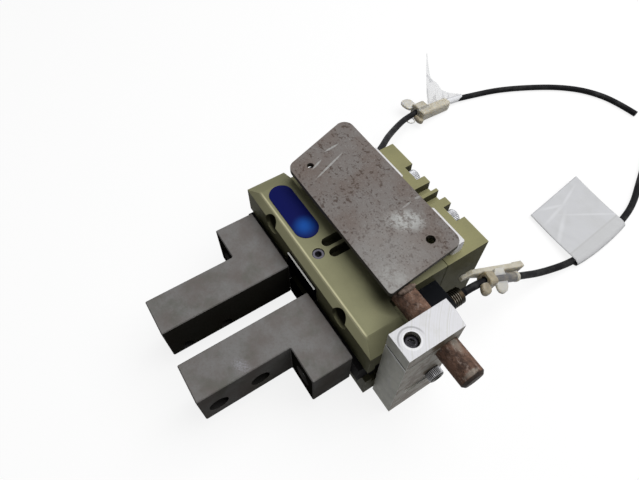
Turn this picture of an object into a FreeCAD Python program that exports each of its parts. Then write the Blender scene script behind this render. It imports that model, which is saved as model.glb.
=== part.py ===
import FreeCAD, Part
import math
import os
import types

import Sketcher

# Pneumatic two-jaw parallel gripper with two L-shaped fingers, two position sensors on short
# cables, and a plate that a rod and a split clamp block carry above the housing.
# Millimetres, +Z up. The origin is the centre of the rear mounting face, +Y is that face's
# outward normal, so the fingers point towards -Y and the jaws travel along X.

# Driving dimensions
DIMENSIONS = {
    # Housing
    "housing_height": 45,
    "housing_depth": 48.2,
    "guide_depth": 19,
    "neck_width": 65.7,
    "shoulder_width": 14.65,
    "boss_depth": 31,
    "boss_height": 27,
    "front_bevel_run": 2.9,
    "end_bevel_run": 7.5,
    "bevel_drop": 3.3,
    "cover_depth": 22.2,
    "seam_width": 0.4,
    "seam_relief": 0.3,
    # Toothed jaw guide, measured from the front face
    "slot_opening": 11,
    "lip_depth": 3.2,
    "tooth_pitch": 3,
    "groove_height": 19,
    "rib_height": 13,
    "slot_depth": 16,
    "guide_clearance": 0.06,
    # Drive: piston, rod and slotted cam plate
    "stroke": 7,
    "seal_wall": 1,
    "chamber_length": 50,
    "piston_thickness": 9,
    "piston_front_gap": 1,
    "piston_clearance": 0.05,
    "piston_seal_gap": 0.03,
    "piston_groove_width": 3,
    "piston_groove_depth": 2,
    "rod_radius": 7,
    "rod_clearance": 0.3,
    "seal_radius": 9,
    "seal_width": 2,
    "seal_clearance": 0.05,
    "cam_thickness": 8,
    "cam_tail_width": 9,
    "cam_tail_length": 6.2,
    "cam_margin": 3.75,
    "cam_room": 0.3,
    "fork_clearance": 0.03,
    "cam_end_room": 1.15,
    "drive_pin_radius": 2,
    "drive_pin_clearance": 0.05,
    "drive_pin_inset": 0.24,
    "drive_pin_x": 16.5,
    "drive_pin_y": 13.6,
    "rod_pin_radius": 1.5,
    "rod_pin_reach": 5,
    # Mounting holes
    "mount_spacing_x": 53,
    "mount_spacing_z": 34,
    "mount_hole_radius": 2.75,
    "counterbore_radius": 4.6,
    "counterbore_depth": 10,
    # Sensor grooves on the top face
    "groove_offset": 2.95,
    "groove_width": 4.3,
    "groove_depth": 4.6,
    "groove_gap": 5.9,
    # Cover screws in their notches
    "cover_screw_x": 13.5,
    "cover_screw_inset": 4,
    "notch_side_room": 0.8,
    "notch_floor_room": 0.5,
    "notch_end_room": 0.4,
    "cover_screw_reach": 26,
    # Screws: radius of the shank, of the head, and height of the head
    "screw_radius": 2,
    "screw_head_radius": 3.5,
    "screw_head_height": 4,
    "thread_clearance": 0.05,
    "thread_runout": 1,
    "screw_clearance": 0.25,
    # Plug screw, badge and centre strips
    "plug_radius": 2.6,
    "plug_depth": 6,
    "plug_sink": 0.4,
    "plug_rim": 0.4,
    "plug_socket": 1.5,
    "plug_y": 7.6,
    "badge_length": 31.4,
    "badge_width": 10.9,
    "badge_thickness": 0.5,
    "badge_x": 23.9,
    "badge_y": 10.2,
    "strip_length": 20.8,
    "strip_thickness": 1.2,
    "strip_inner": 6,
    "strip_outer": 16.5,
    # Cover seal and air ports
    "cover_seal_width": 1.6,
    "cover_seal_depth": 1.6,
    "cover_seal_margin": 0.5,
    "cover_seal_land": 0.15,
    "port_radius": 2.1,
    "port_depth": 6,
    "port_front_y": 36,
    "port_rear_y": 58,
    "port_z": 9,
    # Base jaws and fingers
    "jaw_inner": 10.5,
    "jaw_end_gap": 2.5,
    "jaw_proud": 2.5,
    "finger_inner": 7.4,
    "finger_outer": 40.7,
    "finger_arm_width": 17,
    "finger_base_depth": 18.3,
    "finger_length": 58.2,
    "finger_thickness": 22.3,
    "finger_edge": 0.4,
    "finger_hole_radius": 4.05,
    "finger_hole_drop": 2.1,
    "finger_hole_tip": 7.1,
    "finger_hole_pitch": 18.4,
    "low_hole_radius": 2.5,
    "low_hole_edge": 3.05,
    "finger_screw_edge": 7.7,
    "finger_screw_radius": 2.5,
    "finger_head_radius": 4.25,
    "finger_head_height": 5,
    "finger_counterbore_depth": 6,
    "finger_screw_reach": 8,
    "sleeve_radius": 4,
    "sleeve_depth": 2,
    "dowel_radius": 1.5,
    "dowel_x": 14,
    "dowel_depth": 3,
    "dowel_reach": 6,
    # Clamp block, rod and plate
    "block_width": 11.7,
    "block_front": 5.4,
    "block_depth": 25.6,
    "block_taper": 1,
    "block_top": 36.6,
    "block_step": 0.6,
    "block_step_front": 11,
    "block_step_top": 14.5,
    "block_step_low": 6,
    "support_rod_radius": 5,
    "support_rod_inset": 6.4,
    "support_rod_z": 24.5,
    "support_rod_lap": 1.15,
    "support_rod_free": 14.8,
    "support_rod_edge": 1,
    "support_rod_clearance": 0.02,
    "clamp_slit": 1.2,
    "clamp_slit_rise": 3.9,
    "clamp_screw_y": 11.1,
    "clamp_screw_radius": 1.5,
    "clamp_head_radius": 2.75,
    "clamp_head_height": 3,
    "clamp_sink": 5,
    "clamp_screw_reach": 15,
    "block_screw_y": 24,
    "block_screw_z": 0.6,
    "block_screw_reach": 18,
    "plate_thickness": 2.3,
    "plate_corner": 4.5,
    "plate_weld_corner": 1.2,
    "plate_front": 17.2,
    "plate_rear": 55.5,
    "plate_front_left": 39.8,
    "plate_rear_left": 51.6,
    "plate_front_right": 34.2,
    "plate_rear_right": 30.8,
    "plate_hole_radius": 1.5,
    "plate_hole_inset": 4.9,
    "plate_hole_setback": 8.6,
    "plate_slot_hole_radius": 2,
    "plate_slot_hole_x": 23.1,
    "plate_slot_hole_y": 45.25,
    "weld_radius": 1.8,
    "weld_length": 8,
    "weld_offset": 0.75,
    "pad_left_outer": 30.5,
    "pad_left_inner": 9.7,
    "pad_right_inner": 10,
    "pad_right_outer": 30.2,
    "pad_front": 50,
    "pad_rear": 58,
    # Sensors and their brackets
    "sensor_offset": 8.15,
    "sensor_z": 6.5,
    "sensor_radius": 4,
    "sensor_waist": 3.8,
    "sensor_nose": 2,
    "sensor_tail": 4,
    "sensor_clearance": 0.04,
    "sensing_gap": 1.2,
    "sensor_length": 37.8,
    "sensor_nut_radius": 5.4,
    "sensor_nut_width": 2,
    "bracket_depth": 12.5,
    "bracket_width": 13.75,
    "bracket_drop": 7.5,
    "bracket_rise": 9.1,
    "bracket_slit": 1,
    "bracket_screw_radius": 1,
    "bracket_head_radius": 1.9,
    "bracket_head_height": 2,
    "bracket_screw_rise": 5.6,
    "bracket_screw_reach": 2.6,
    # Cables, nylon clips and flag labels
    "cable_radius": 1.75,
    "clip_bore": 2.7,
    "clip_length": 10,
    "clip_height": 8,
    "clip_width": 8,
    "clip_lug_radius": 2.3,
    "clip_lug_height": 3,
    "tongue_back_right": 18,
    "tongue_ahead_right": 21,
    "tongue_back_left": 5,
    "tongue_ahead_left": 17,
    "tongue_width": 3,
    "tongue_height": 6,
    "label_width": 30,
    "label_length": 40,
    "label_thickness": 0.5,
    "flag_thickness": 0.8,
    "flag_height": 34,
    "flag_width": 10,
    "flag_angle": 43,
    "wing_length": 26,
    "wing_near_height": 13,
    "wing_far_height": 3,
}

# Cable routes, chosen by hand: out of the sensor, down to the surface, then along it
ROUTE_RIGHT = [
    (41, -15.4, 6.5), (41, -6, 6.5), (43, 6.2, 0.5), (45, 22.6, -9.5), (47, 36, -16.5),
    (50.3, 57.2, -20.6), (49.5, 78.8, -20.6), (46.5, 99.1, -20.6), (42.5, 113, -20.6),
    (34, 129, -20.6), (24, 148, -20.6), (11, 167.5, -20.6), (-3, 183, -20.6),
]
ROUTE_LEFT = [
    (-41, -15.4, 6.5), (-41, -7, 6.5), (-43.6, 1, 5.6), (-48.5, 8.2, 2.5), (-56.5, 18.5, -3),
    (-65, 31.5, -10), (-71.5, 44, -14.5), (-75.2, 60, -17.8), (-73.8, 80.5, -19.6), (-70.6, 97, -20.6),
    (-64.9, 117.5, -20.6), (-52.8, 141.1, -20.6), (-43, 155, -20.6), (-32.2, 164.8, -20.6),
    (-18, 171.2, -20.6), (-3, 172.6, -20.6),
]
# Share of the shorter run that an arc of the cable takes up on each side of a point
ARC_SHARE = 0.45
# Middle of each nylon clip, with its heading and downward tilt in degrees
CLIP_RIGHT = ((42.6, 4.1, 1.5), 81, 28)
CLIP_LEFT = ((-74.5, 57.6, -17.3), 93, 7)
# Corner and heading of the label that lies flat; foot, heading and tilt of the one that stands
LABEL_RIGHT = ((16.3, 58.4, -22.3), 3)
LABEL_LEFT = ((-74.7, 64.5, -16), 86, 4)
# Hexagon sockets: half the width across flats as a share of the shank, and depth as a share of the head
SOCKET_WIDTH_SHARE = 0.8
SOCKET_DEPTH_SHARE = 0.5

doc = FreeCAD.newDocument("parallel_gripper")
sheet = doc.addObject("Spreadsheet::Sheet", "Dims")
for row, (alias, number) in enumerate(DIMENSIONS.items(), start=1):
    sheet.set("A%d" % row, alias)
    sheet.set("B%d" % row, str(number))
    sheet.setAlias("B%d" % row, alias)
doc.recompute()


class Size:
    """A length together with the sheet formula that gives it."""

    def __init__(self, value, formula):
        self.value = value
        self.formula = formula

    def __add__(self, other):
        other = as_size(other)
        return Size(self.value + other.value, "(%s + %s)" % (self.formula, other.formula))

    def __sub__(self, other):
        other = as_size(other)
        return Size(self.value - other.value, "(%s - %s)" % (self.formula, other.formula))

    def __mul__(self, other):
        other = as_size(other)
        return Size(self.value * other.value, "(%s * %s)" % (self.formula, other.formula))

    def __truediv__(self, other):
        other = as_size(other)
        return Size(self.value / other.value, "(%s / %s)" % (self.formula, other.formula))

    def __neg__(self):
        return Size(-self.value, "(-%s)" % self.formula)


def as_size(number):
    """A plain number as a size that no cell drives."""
    if isinstance(number, Size):
        return number
    return Size(float(number), "%.9f" % number)


ZERO = as_size(0)
d = types.SimpleNamespace(**{
    alias: Size(float(sheet.get(alias)), "Dims." + alias) for alias in DIMENSIONS
})

# Planes that several pieces share
FRONT = -(d.housing_depth + d.cover_depth)
SEAM = -d.cover_depth
TOP = d.housing_height / 2
NECK = d.neck_width / 2
SIDE = NECK + d.shoulder_width
FINGER_ROOT = FRONT - d.jaw_proud
PLATE_UNDERSIDE = d.support_rod_z + d.support_rod_radius

subparts = []


def from_front(distance):
    """Y of a place that is given as its distance behind the front face."""
    return FRONT + distance


def bind(feature, name, size):
    """Ties one property of a feature to the sheet."""
    feature.setExpression(name, as_size(size).formula)


def keep(feature, label):
    """Names a finished piece, which is then written to its own file."""
    feature.Label = label
    subparts.append(feature)
    return feature


def place(feature, x, y, z):
    """Ties the position of a feature to the sheet."""
    bind(feature, "Placement.Base.x", x)
    bind(feature, "Placement.Base.y", y)
    bind(feature, "Placement.Base.z", z)


def turn(feature, axis, angle):
    """Turns a feature about an axis through its own origin."""
    feature.Placement = FreeCAD.Placement(FreeCAD.Vector(), FreeCAD.Rotation(FreeCAD.Vector(*axis), angle))


# Sketches
def new_body(name):
    return doc.addObject("PartDesign::Body", name)


def sketch_on(body, name, role, offset=None):
    """A sketch on one of the body's own planes, moved along the plane's normal."""
    sketch = body.newObject("Sketcher::SketchObject", body.Name + "_" + name)
    plane = [feature for feature in body.Origin.OriginFeatures if feature.Role == role][0]
    sketch.AttachmentSupport = [(plane, "")]
    sketch.MapMode = "FlatFace"
    if offset is not None:
        bind(sketch, "AttachmentOffset.Base.z", offset)
    return sketch


def across(body, name, y):
    """A sketch of X and Z in the plane at the given Y, whose normal points to the front."""
    return sketch_on(body, name, "XZ_Plane", -as_size(y))


def along(body, name, z=None):
    """A sketch of X and Y at the given height."""
    return sketch_on(body, name, "XY_Plane", z)


def sideways(body, name, x=None):
    """A sketch of Y and Z at the given X."""
    return sketch_on(body, name, "YZ_Plane", x)


def vector(point):
    return FreeCAD.Vector(as_size(point[0]).value, as_size(point[1]).value, 0)


def hold(sketch, kind, geometry, vertex, size):
    """Fixes one coordinate of a sketch point to a size."""
    size = as_size(size)
    index = sketch.addConstraint(Sketcher.Constraint(kind, -1, 1, geometry, vertex, size.value))
    sketch.setExpression("Constraints[%d]" % index, size.formula)


def hold_point(sketch, geometry, vertex, point):
    hold(sketch, "DistanceX", geometry, vertex, point[0])
    hold(sketch, "DistanceY", geometry, vertex, point[1])


def polygon(sketch, corners):
    """Straight edges through the corners, each of them held by its two sizes."""
    first = sketch.GeometryCount
    count = len(corners)
    for start, end in zip(corners, corners[1:] + corners[:1]):
        sketch.addGeometry(Part.LineSegment(vector(start), vector(end)))
    for step, corner in enumerate(corners):
        after = first + (step + 1) % count
        sketch.addConstraint(Sketcher.Constraint("Coincident", first + step, 2, after, 1))
        hold_point(sketch, first + step, 1, corner)


def rectangle(sketch, left, right, low, high):
    polygon(sketch, [(left, low), (right, low), (right, high), (left, high)])


def hexagon(sketch, centre, corner):
    """Six corners at the given distance from the centre, the first along the sketch's own X."""
    angles = [step * math.pi / 3 for step in range(6)]
    polygon(sketch, [
        (corner * math.cos(angle) + centre[0], corner * math.sin(angle) + centre[1]) for angle in angles
    ])


def circle(sketch, centre, radius):
    ring = Part.Circle(vector(centre), FreeCAD.Vector(0, 0, 1), as_size(radius).value)
    geometry = sketch.addGeometry(ring)
    hold_point(sketch, geometry, 3, centre)
    index = sketch.addConstraint(Sketcher.Constraint("Radius", geometry, as_size(radius).value))
    sketch.setExpression("Constraints[%d]" % index, as_size(radius).formula)


def circles(sketch, spots, radius):
    for spot in spots:
        circle(sketch, spot, radius)


def bow(sketch, start, end, centre, turn_from, kind):
    """An arc between two line ends, with one coordinate of its centre held."""
    middle = vector(centre)
    reach = (vector(start) - middle).Length
    ring = Part.Circle(middle, FreeCAD.Vector(0, 0, 1), reach)
    geometry = sketch.addGeometry(Part.ArcOfCircle(ring, turn_from, turn_from + math.pi))
    hold_point(sketch, geometry, 1, start)
    hold_point(sketch, geometry, 2, end)
    hold(sketch, kind, geometry, 3, centre[0] if kind == "DistanceX" else centre[1])


def slot(sketch, first, second, radius):
    """A round-ended slot between two centres that lie on a line at a fixed slope."""
    run = vector(second) - vector(first)
    length = run.Length
    aside = (-run.y / length, run.x / length)
    offset = (as_size(radius) * aside[0], as_size(radius) * aside[1])
    left_first = (as_size(first[0]) + offset[0], as_size(first[1]) + offset[1])
    left_second = (as_size(second[0]) + offset[0], as_size(second[1]) + offset[1])
    right_first = (as_size(first[0]) - offset[0], as_size(first[1]) - offset[1])
    right_second = (as_size(second[0]) - offset[0], as_size(second[1]) - offset[1])
    for start, end in ((left_first, left_second), (right_second, right_first)):
        line = sketch.addGeometry(Part.LineSegment(vector(start), vector(end)))
        hold_point(sketch, line, 1, start)
        hold_point(sketch, line, 2, end)
    bearing = math.atan2(aside[1], aside[0])
    kind = "DistanceX" if abs(run.x) > 1e-6 else "DistanceY"
    bow(sketch, left_first, right_first, first, bearing, kind)
    bow(sketch, right_second, left_second, second, bearing + math.pi, kind)


def stadium(sketch, centre, length, width):
    """A slot outline along X with its overall length and width."""
    reach = (as_size(length) - width) / 2
    middle_x = as_size(centre[0])
    slot(sketch, (middle_x - reach, centre[1]), (middle_x + reach, centre[1]), as_size(width) / 2)


# Features
def pad(body, sketch, length, both=False, back=False):
    feature = body.newObject("PartDesign::Pad", sketch.Name + "_pad")
    feature.Profile = sketch
    feature.SideType = "Symmetric" if both else "One side"
    feature.Reversed = back
    bind(feature, "Length", length)
    return feature


def pocket(body, sketch, length, both=False, back=False):
    """A cut against the sketch's normal, along it if back is set, or to both sides."""
    feature = body.newObject("PartDesign::Pocket", sketch.Name + "_cut")
    feature.Profile = sketch
    feature.SideType = "Symmetric" if both else "One side"
    feature.Reversed = back
    bind(feature, "Length", length)
    return feature


def chamfer_all(body, base, size):
    feature = body.newObject("PartDesign::Chamfer", base.Name + "_edges")
    feature.Base = (base, [])
    feature.UseAllEdges = True
    bind(feature, "Size", size)
    return feature


def turned(name, profile):
    """A body turned about its own X axis, from a profile of X and radius."""
    body = new_body(name)
    sketch = along(body, "profile")
    polygon(sketch, profile)
    feature = body.newObject("PartDesign::Revolution", name + "_turn")
    feature.Profile = sketch
    feature.ReferenceAxis = (sketch, ["H_Axis"])
    feature.Angle = 360
    return body


def cap_screw(name, shank_radius, head_radius, head_height, reach):
    """A socket-head screw along its own X axis, with the seat of its head at the origin."""
    body = turned(name, [
        (-head_height, ZERO), (-head_height, head_radius), (ZERO, head_radius),
        (ZERO, shank_radius), (reach, shank_radius), (reach, ZERO),
    ])
    socket = sideways(body, "socket", -head_height)
    hexagon(socket, (ZERO, ZERO), shank_radius * (SOCKET_WIDTH_SHARE / math.cos(math.pi / 6)))
    pocket(body, socket, head_height * SOCKET_DEPTH_SHARE, back=True)
    return body


def mirrored(source, label):
    """The same piece on the other side of the middle plane."""
    feature = doc.addObject("Part::Mirroring", label)
    feature.Source = source
    feature.Base = FreeCAD.Vector(0, 0, 0)
    feature.Normal = FreeCAD.Vector(1, 0, 0)
    return keep(feature, label)


def group(label, members):
    feature = doc.addObject("Part::Compound", label)
    feature.Links = members
    return keep(feature, label)


def box(name, x, y, z, length, width, height):
    feature = doc.addObject("Part::Box", name)
    bind(feature, "Length", length)
    bind(feature, "Width", width)
    bind(feature, "Height", height)
    place(feature, x, y, z)
    return feature


def four_corners(half_x, half_z):
    return [(half_x, half_z), (-half_x, half_z), (half_x, -half_z), (-half_x, -half_z)]


MOUNT_SPOTS = four_corners(d.mount_spacing_x / 2, d.mount_spacing_z / 2)
COVER_SCREW_Z = TOP - d.cover_screw_inset
COVER_SCREW_SPOTS = four_corners(d.cover_screw_x, COVER_SCREW_Z)
BRACKET_FRONT = from_front(d.boss_depth)
BLOCK_SCREW_SPOT = (from_front(d.block_screw_y), -d.block_screw_z)
BRACKET_OUTER = NECK + d.bracket_width
BRACKET_SCREW_SPOT = (BRACKET_FRONT + d.bracket_depth / 2, d.sensor_z + d.bracket_screw_rise)
SENSOR_X = NECK + d.sensor_offset
FINGER_SCREW_X = d.finger_outer - d.finger_screw_edge
NOTCH_DEPTH = d.screw_head_height + d.notch_end_room
CAM_POCKET_REAR = d.drive_pin_y + d.cam_margin + d.stroke + d.cam_end_room
CHAMBER_FRONT = CAM_POCKET_REAR + d.seal_wall + d.seal_width
# The chamber leaves room for its seal inside the cover screws
SEAL_ROOM = d.cover_seal_margin + d.cover_seal_width + d.cover_seal_land
CHAMBER_HEIGHT = (COVER_SCREW_Z - d.screw_radius - d.screw_clearance - SEAL_ROOM) * 2


# Housing
def guide_half(clearance, proud):
    """Upper half of the toothed guide section, from the front to the back."""
    opening = d.slot_opening / 2 - clearance
    groove = d.groove_height / 2 - clearance
    rib = d.rib_height / 2 - clearance
    first = from_front(d.lip_depth)
    second = first + d.tooth_pitch
    third = second + d.tooth_pitch
    fourth = third + d.tooth_pitch
    return [
        (FRONT - proud, opening),
        (first + clearance, opening), (first + clearance, groove),
        (second - clearance, groove), (second - clearance, rib),
        (third + clearance, rib), (third + clearance, groove),
        (fourth - clearance, groove), (fourth - clearance, rib),
        (from_front(d.slot_depth) - clearance, rib),
    ]


def below(points):
    """The same points mirrored to the lower half, in reverse order."""
    return [(y, -z) for y, z in reversed(points)]


def build_housing():
    body = new_body("housing")
    guide = sideways(body, "guide")
    shoulder = from_front(d.guide_depth)
    outside = [
        (shoulder, TOP),
        (from_front(d.front_bevel_run), TOP),
        (FRONT, TOP - d.bevel_drop),
    ]
    slot_wall = guide_half(ZERO, ZERO)
    polygon(guide, outside + slot_wall + below(slot_wall) + below(outside))
    pad(body, guide, SIDE * 2, both=True)

    neck = along(body, "neck")
    rectangle(neck, -NECK, NECK, from_front(d.slot_depth), SEAM)
    pad(body, neck, d.housing_height, both=True)

    boss = along(body, "boss")
    rectangle(boss, -SIDE, SIDE, from_front(d.slot_depth), from_front(d.boss_depth))
    pad(body, boss, d.boss_height, both=True)

    ends = across(body, "end_bevels", from_front(d.guide_depth))
    for sign_x in (1, -1):
        for sign_z in (1, -1):
            polygon(ends, [
                ((SIDE - d.end_bevel_run) * sign_x, TOP * sign_z),
                (SIDE * sign_x, TOP * sign_z),
                (SIDE * sign_x, (TOP - d.bevel_drop) * sign_z),
            ])
    pocket(body, ends, d.guide_depth, back=True)

    chamber = across(body, "chamber", SEAM)
    stadium(chamber, (ZERO, ZERO), d.chamber_length, CHAMBER_HEIGHT)
    pocket(body, chamber, d.housing_depth - CHAMBER_FRONT, back=True)

    rod_bore = across(body, "rod_bore", from_front(CHAMBER_FRONT))
    circle(rod_bore, (ZERO, ZERO), d.rod_radius + d.rod_clearance)
    pocket(body, rod_bore, CHAMBER_FRONT - d.slot_depth, back=True)

    seal_seat = across(body, "seal_seat", from_front(CHAMBER_FRONT))
    circle(seal_seat, (ZERO, ZERO), d.seal_radius)
    pocket(body, seal_seat, d.seal_width, back=True)

    cam_pocket = across(body, "cam_pocket", from_front(d.slot_depth))
    half_width = d.drive_pin_x + d.cam_margin + d.cam_room
    half_height = d.cam_thickness / 2 + d.cam_room
    rectangle(cam_pocket, -half_width, half_width, -half_height, half_height)
    pocket(body, cam_pocket, CAM_POCKET_REAR - d.slot_depth)

    mounts = across(body, "mount_holes", SEAM)
    circles(mounts, MOUNT_SPOTS, d.mount_hole_radius)
    pocket(body, mounts, d.housing_depth, back=True)

    counterbores = across(body, "counterbores", FRONT)
    circles(counterbores, MOUNT_SPOTS, d.counterbore_radius)
    pocket(body, counterbores, d.counterbore_depth)

    threads = across(body, "cover_threads", SEAM)
    circles(threads, COVER_SCREW_SPOTS, d.screw_radius + d.thread_clearance)
    depth = d.cover_screw_reach - (d.cover_depth - NOTCH_DEPTH) + d.thread_runout
    pocket(body, threads, depth, back=True)

    sensor_bores = across(body, "sensor_bores", from_front(d.boss_depth))
    spots = [(SENSOR_X, d.sensor_z), (-SENSOR_X, d.sensor_z)]
    circles(sensor_bores, spots, d.sensor_radius + d.sensor_clearance)
    pocket(body, sensor_bores, d.boss_depth - d.slot_depth, back=True)

    grooves = along(body, "grooves", TOP)
    for side in (1, -1):
        middle = d.groove_offset * side
        start = (middle, from_front(d.plug_y + d.groove_gap))
        slot(grooves, start, (middle, SEAM + d.groove_width), d.groove_width / 2)
    pocket(body, grooves, d.groove_depth)

    plug = along(body, "plug_hole", TOP)
    circle(plug, (ZERO, from_front(d.plug_y)), d.plug_radius + d.thread_clearance)
    pocket(body, plug, d.plug_depth)

    block_thread = sideways(body, "block_thread", SIDE)
    circle(block_thread, BLOCK_SCREW_SPOT, d.screw_radius + d.thread_clearance)
    pocket(body, block_thread, d.block_screw_reach - d.block_width + d.thread_runout)

    for side, name in ((1, "right"), (-1, "left")):
        bracket_thread = sideways(body, "bracket_thread_" + name, NECK * side)
        circle(bracket_thread, BRACKET_SCREW_SPOT, d.bracket_screw_radius + d.thread_clearance)
        pocket(body, bracket_thread, d.bracket_screw_reach + d.thread_runout, back=side < 0)

    port = sideways(body, "port", -NECK)
    circle(port, (from_front(d.port_front_y), -d.port_z), d.port_radius)
    pocket(body, port, d.port_depth, back=True)
    keep(body, "housing")


def build_rear_cover():
    body = new_body("rear_cover")
    block = across(body, "block", ZERO)
    rectangle(block, -NECK, NECK, -TOP, TOP)
    pad(body, block, d.cover_depth)

    mounts = across(body, "mount_holes", ZERO)
    circles(mounts, MOUNT_SPOTS, d.mount_hole_radius)
    pocket(body, mounts, d.cover_depth, back=True)

    notches = across(body, "notches", ZERO)
    notch_height = d.cover_screw_inset + d.screw_head_radius + d.notch_floor_room
    for side in (1, -1):
        middle = d.cover_screw_x * side
        left = middle - d.screw_head_radius - d.notch_side_room
        right = middle + d.screw_head_radius + d.notch_side_room
        rectangle(notches, left, right, TOP - notch_height, TOP)
        rectangle(notches, left, right, -TOP, notch_height - TOP)
    pocket(body, notches, NOTCH_DEPTH, back=True)

    screw_holes = across(body, "screw_holes", ZERO)
    circles(screw_holes, COVER_SCREW_SPOTS, d.screw_radius + d.screw_clearance)
    pocket(body, screw_holes, d.cover_depth, back=True)

    grooves = across(body, "grooves", ZERO)
    for side in (1, -1):
        middle = d.groove_offset * side
        half = d.groove_width / 2
        rectangle(grooves, middle - half, middle + half, TOP - d.groove_depth, TOP)
    pocket(body, grooves, d.cover_depth, back=True)

    seat = across(body, "seal_seat", SEAM)
    cover_seal_outline(seat)
    pocket(body, seat, d.cover_seal_depth)

    seam = across(body, "seam", SEAM)
    wide = NECK - d.seam_relief
    tall = TOP - d.seam_relief
    rectangle(seam, -NECK, NECK, -TOP, TOP)
    rectangle(seam, -wide, wide, -tall, tall)
    pocket(body, seam, d.seam_width)

    port = sideways(body, "port", -NECK)
    circle(port, (from_front(d.port_rear_y), -d.port_z), d.port_radius)
    pocket(body, port, d.port_depth, back=True)
    keep(body, "rear_cover")


def cover_seal_outline(sketch):
    """The flat ring round the chamber's mouth."""
    inner = d.cover_seal_margin * 2
    outer = inner + d.cover_seal_width * 2
    stadium(sketch, (ZERO, ZERO), d.chamber_length + inner, CHAMBER_HEIGHT + inner)
    stadium(sketch, (ZERO, ZERO), d.chamber_length + outer, CHAMBER_HEIGHT + outer)


def build_cover_seal():
    body = new_body("cover_seal")
    ring = across(body, "ring", SEAM)
    cover_seal_outline(ring)
    pad(body, ring, d.cover_seal_depth, back=True)
    keep(body, "cover_seal")


def build_cover_screws():
    screws = []
    for number, (x, z) in enumerate(COVER_SCREW_SPOTS, start=1):
        screw = cap_screw("cover_screw_%d" % number, d.screw_radius, d.screw_head_radius,
                          d.screw_head_height, d.cover_screw_reach)
        turn(screw, (0, 0, 1), -90)
        place(screw, x, -NOTCH_DEPTH, z)
        screws.append(screw)
    group("cover_screws", screws)


def build_plug_screw():
    bottom = TOP - d.plug_depth
    length = d.plug_depth - d.plug_sink
    rim = d.plug_rim
    body = turned("plug_screw", [
        (ZERO, ZERO), (ZERO, d.plug_radius), (length - rim, d.plug_radius),
        (length, d.plug_radius - rim), (length, ZERO),
    ])
    socket = sideways(body, "socket", length)
    hexagon(socket, (ZERO, ZERO), d.plug_socket)
    pocket(body, socket, length * SOCKET_DEPTH_SHARE)
    turn(body, (0, 1, 0), -90)
    place(body, ZERO, from_front(d.plug_y), bottom)
    keep(body, "plug_screw")


def build_badge():
    body = new_body("badge")
    outline = along(body, "outline", TOP)
    stadium(outline, (-d.badge_x, from_front(d.badge_y)), d.badge_length, d.badge_width)
    pad(body, outline, d.badge_thickness)
    keep(body, "badge")


def build_centre_strips():
    height = d.strip_outer - d.strip_inner
    upper = box("strip_upper", -d.strip_length / 2, FRONT - d.strip_thickness, d.strip_inner,
                d.strip_length, d.strip_thickness, height)
    lower = box("strip_lower", -d.strip_length / 2, FRONT - d.strip_thickness, -d.strip_outer,
                d.strip_length, d.strip_thickness, height)
    group("centre_strips", [upper, lower])


# Drive
PISTON_FRONT = from_front(CHAMBER_FRONT + d.piston_front_gap)
CAM_REAR = from_front(d.drive_pin_y + d.cam_margin)
FORK_ROOT = CAM_REAR + d.cam_tail_length
ROD_PIN_Y = CAM_REAR + d.cam_tail_length / 2


def piston_outline(sketch, inset):
    stadium(sketch, (ZERO, ZERO), d.chamber_length - inset * 2, CHAMBER_HEIGHT - inset * 2)


def build_piston():
    body = new_body("piston")
    disc = across(body, "disc", PISTON_FRONT)
    piston_outline(disc, d.piston_clearance)
    pad(body, disc, d.piston_thickness, back=True)

    rod = across(body, "rod", PISTON_FRONT)
    circle(rod, (ZERO, ZERO), d.rod_radius)
    pad(body, rod, PISTON_FRONT - CAM_REAR)

    seat = across(body, "seal_seat", PISTON_FRONT + (d.piston_thickness - d.piston_groove_width) / 2)
    piston_outline(seat, -d.piston_groove_depth)
    piston_outline(seat, d.piston_groove_depth)
    pocket(body, seat, d.piston_groove_width)

    fork = across(body, "fork", CAM_REAR)
    half = d.cam_thickness / 2 + d.fork_clearance
    wide = d.rod_radius + d.rod_clearance
    rectangle(fork, -wide, wide, -half, half)
    pocket(body, fork, d.cam_tail_length)

    pin_hole = along(body, "pin_hole")
    circle(pin_hole, (ZERO, ROD_PIN_Y), d.rod_pin_radius)
    pocket(body, pin_hole, d.rod_radius * 2, both=True)
    keep(body, "piston")


def build_piston_seal():
    body = new_body("piston_seal")
    ring = across(body, "ring", PISTON_FRONT + (d.piston_thickness - d.piston_groove_width) / 2)
    piston_outline(ring, d.piston_seal_gap)
    piston_outline(ring, d.piston_groove_depth)
    pad(body, ring, d.piston_groove_width, back=True)
    keep(body, "piston_seal")


def build_rod_seal():
    front = from_front(CHAMBER_FRONT) - d.seal_width
    body = new_body("rod_seal")
    ring = across(body, "ring", front)
    circle(ring, (ZERO, ZERO), d.seal_radius)
    circle(ring, (ZERO, ZERO), d.rod_radius + d.seal_clearance)
    pad(body, ring, d.seal_width, back=True)
    keep(body, "rod_seal")


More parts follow.
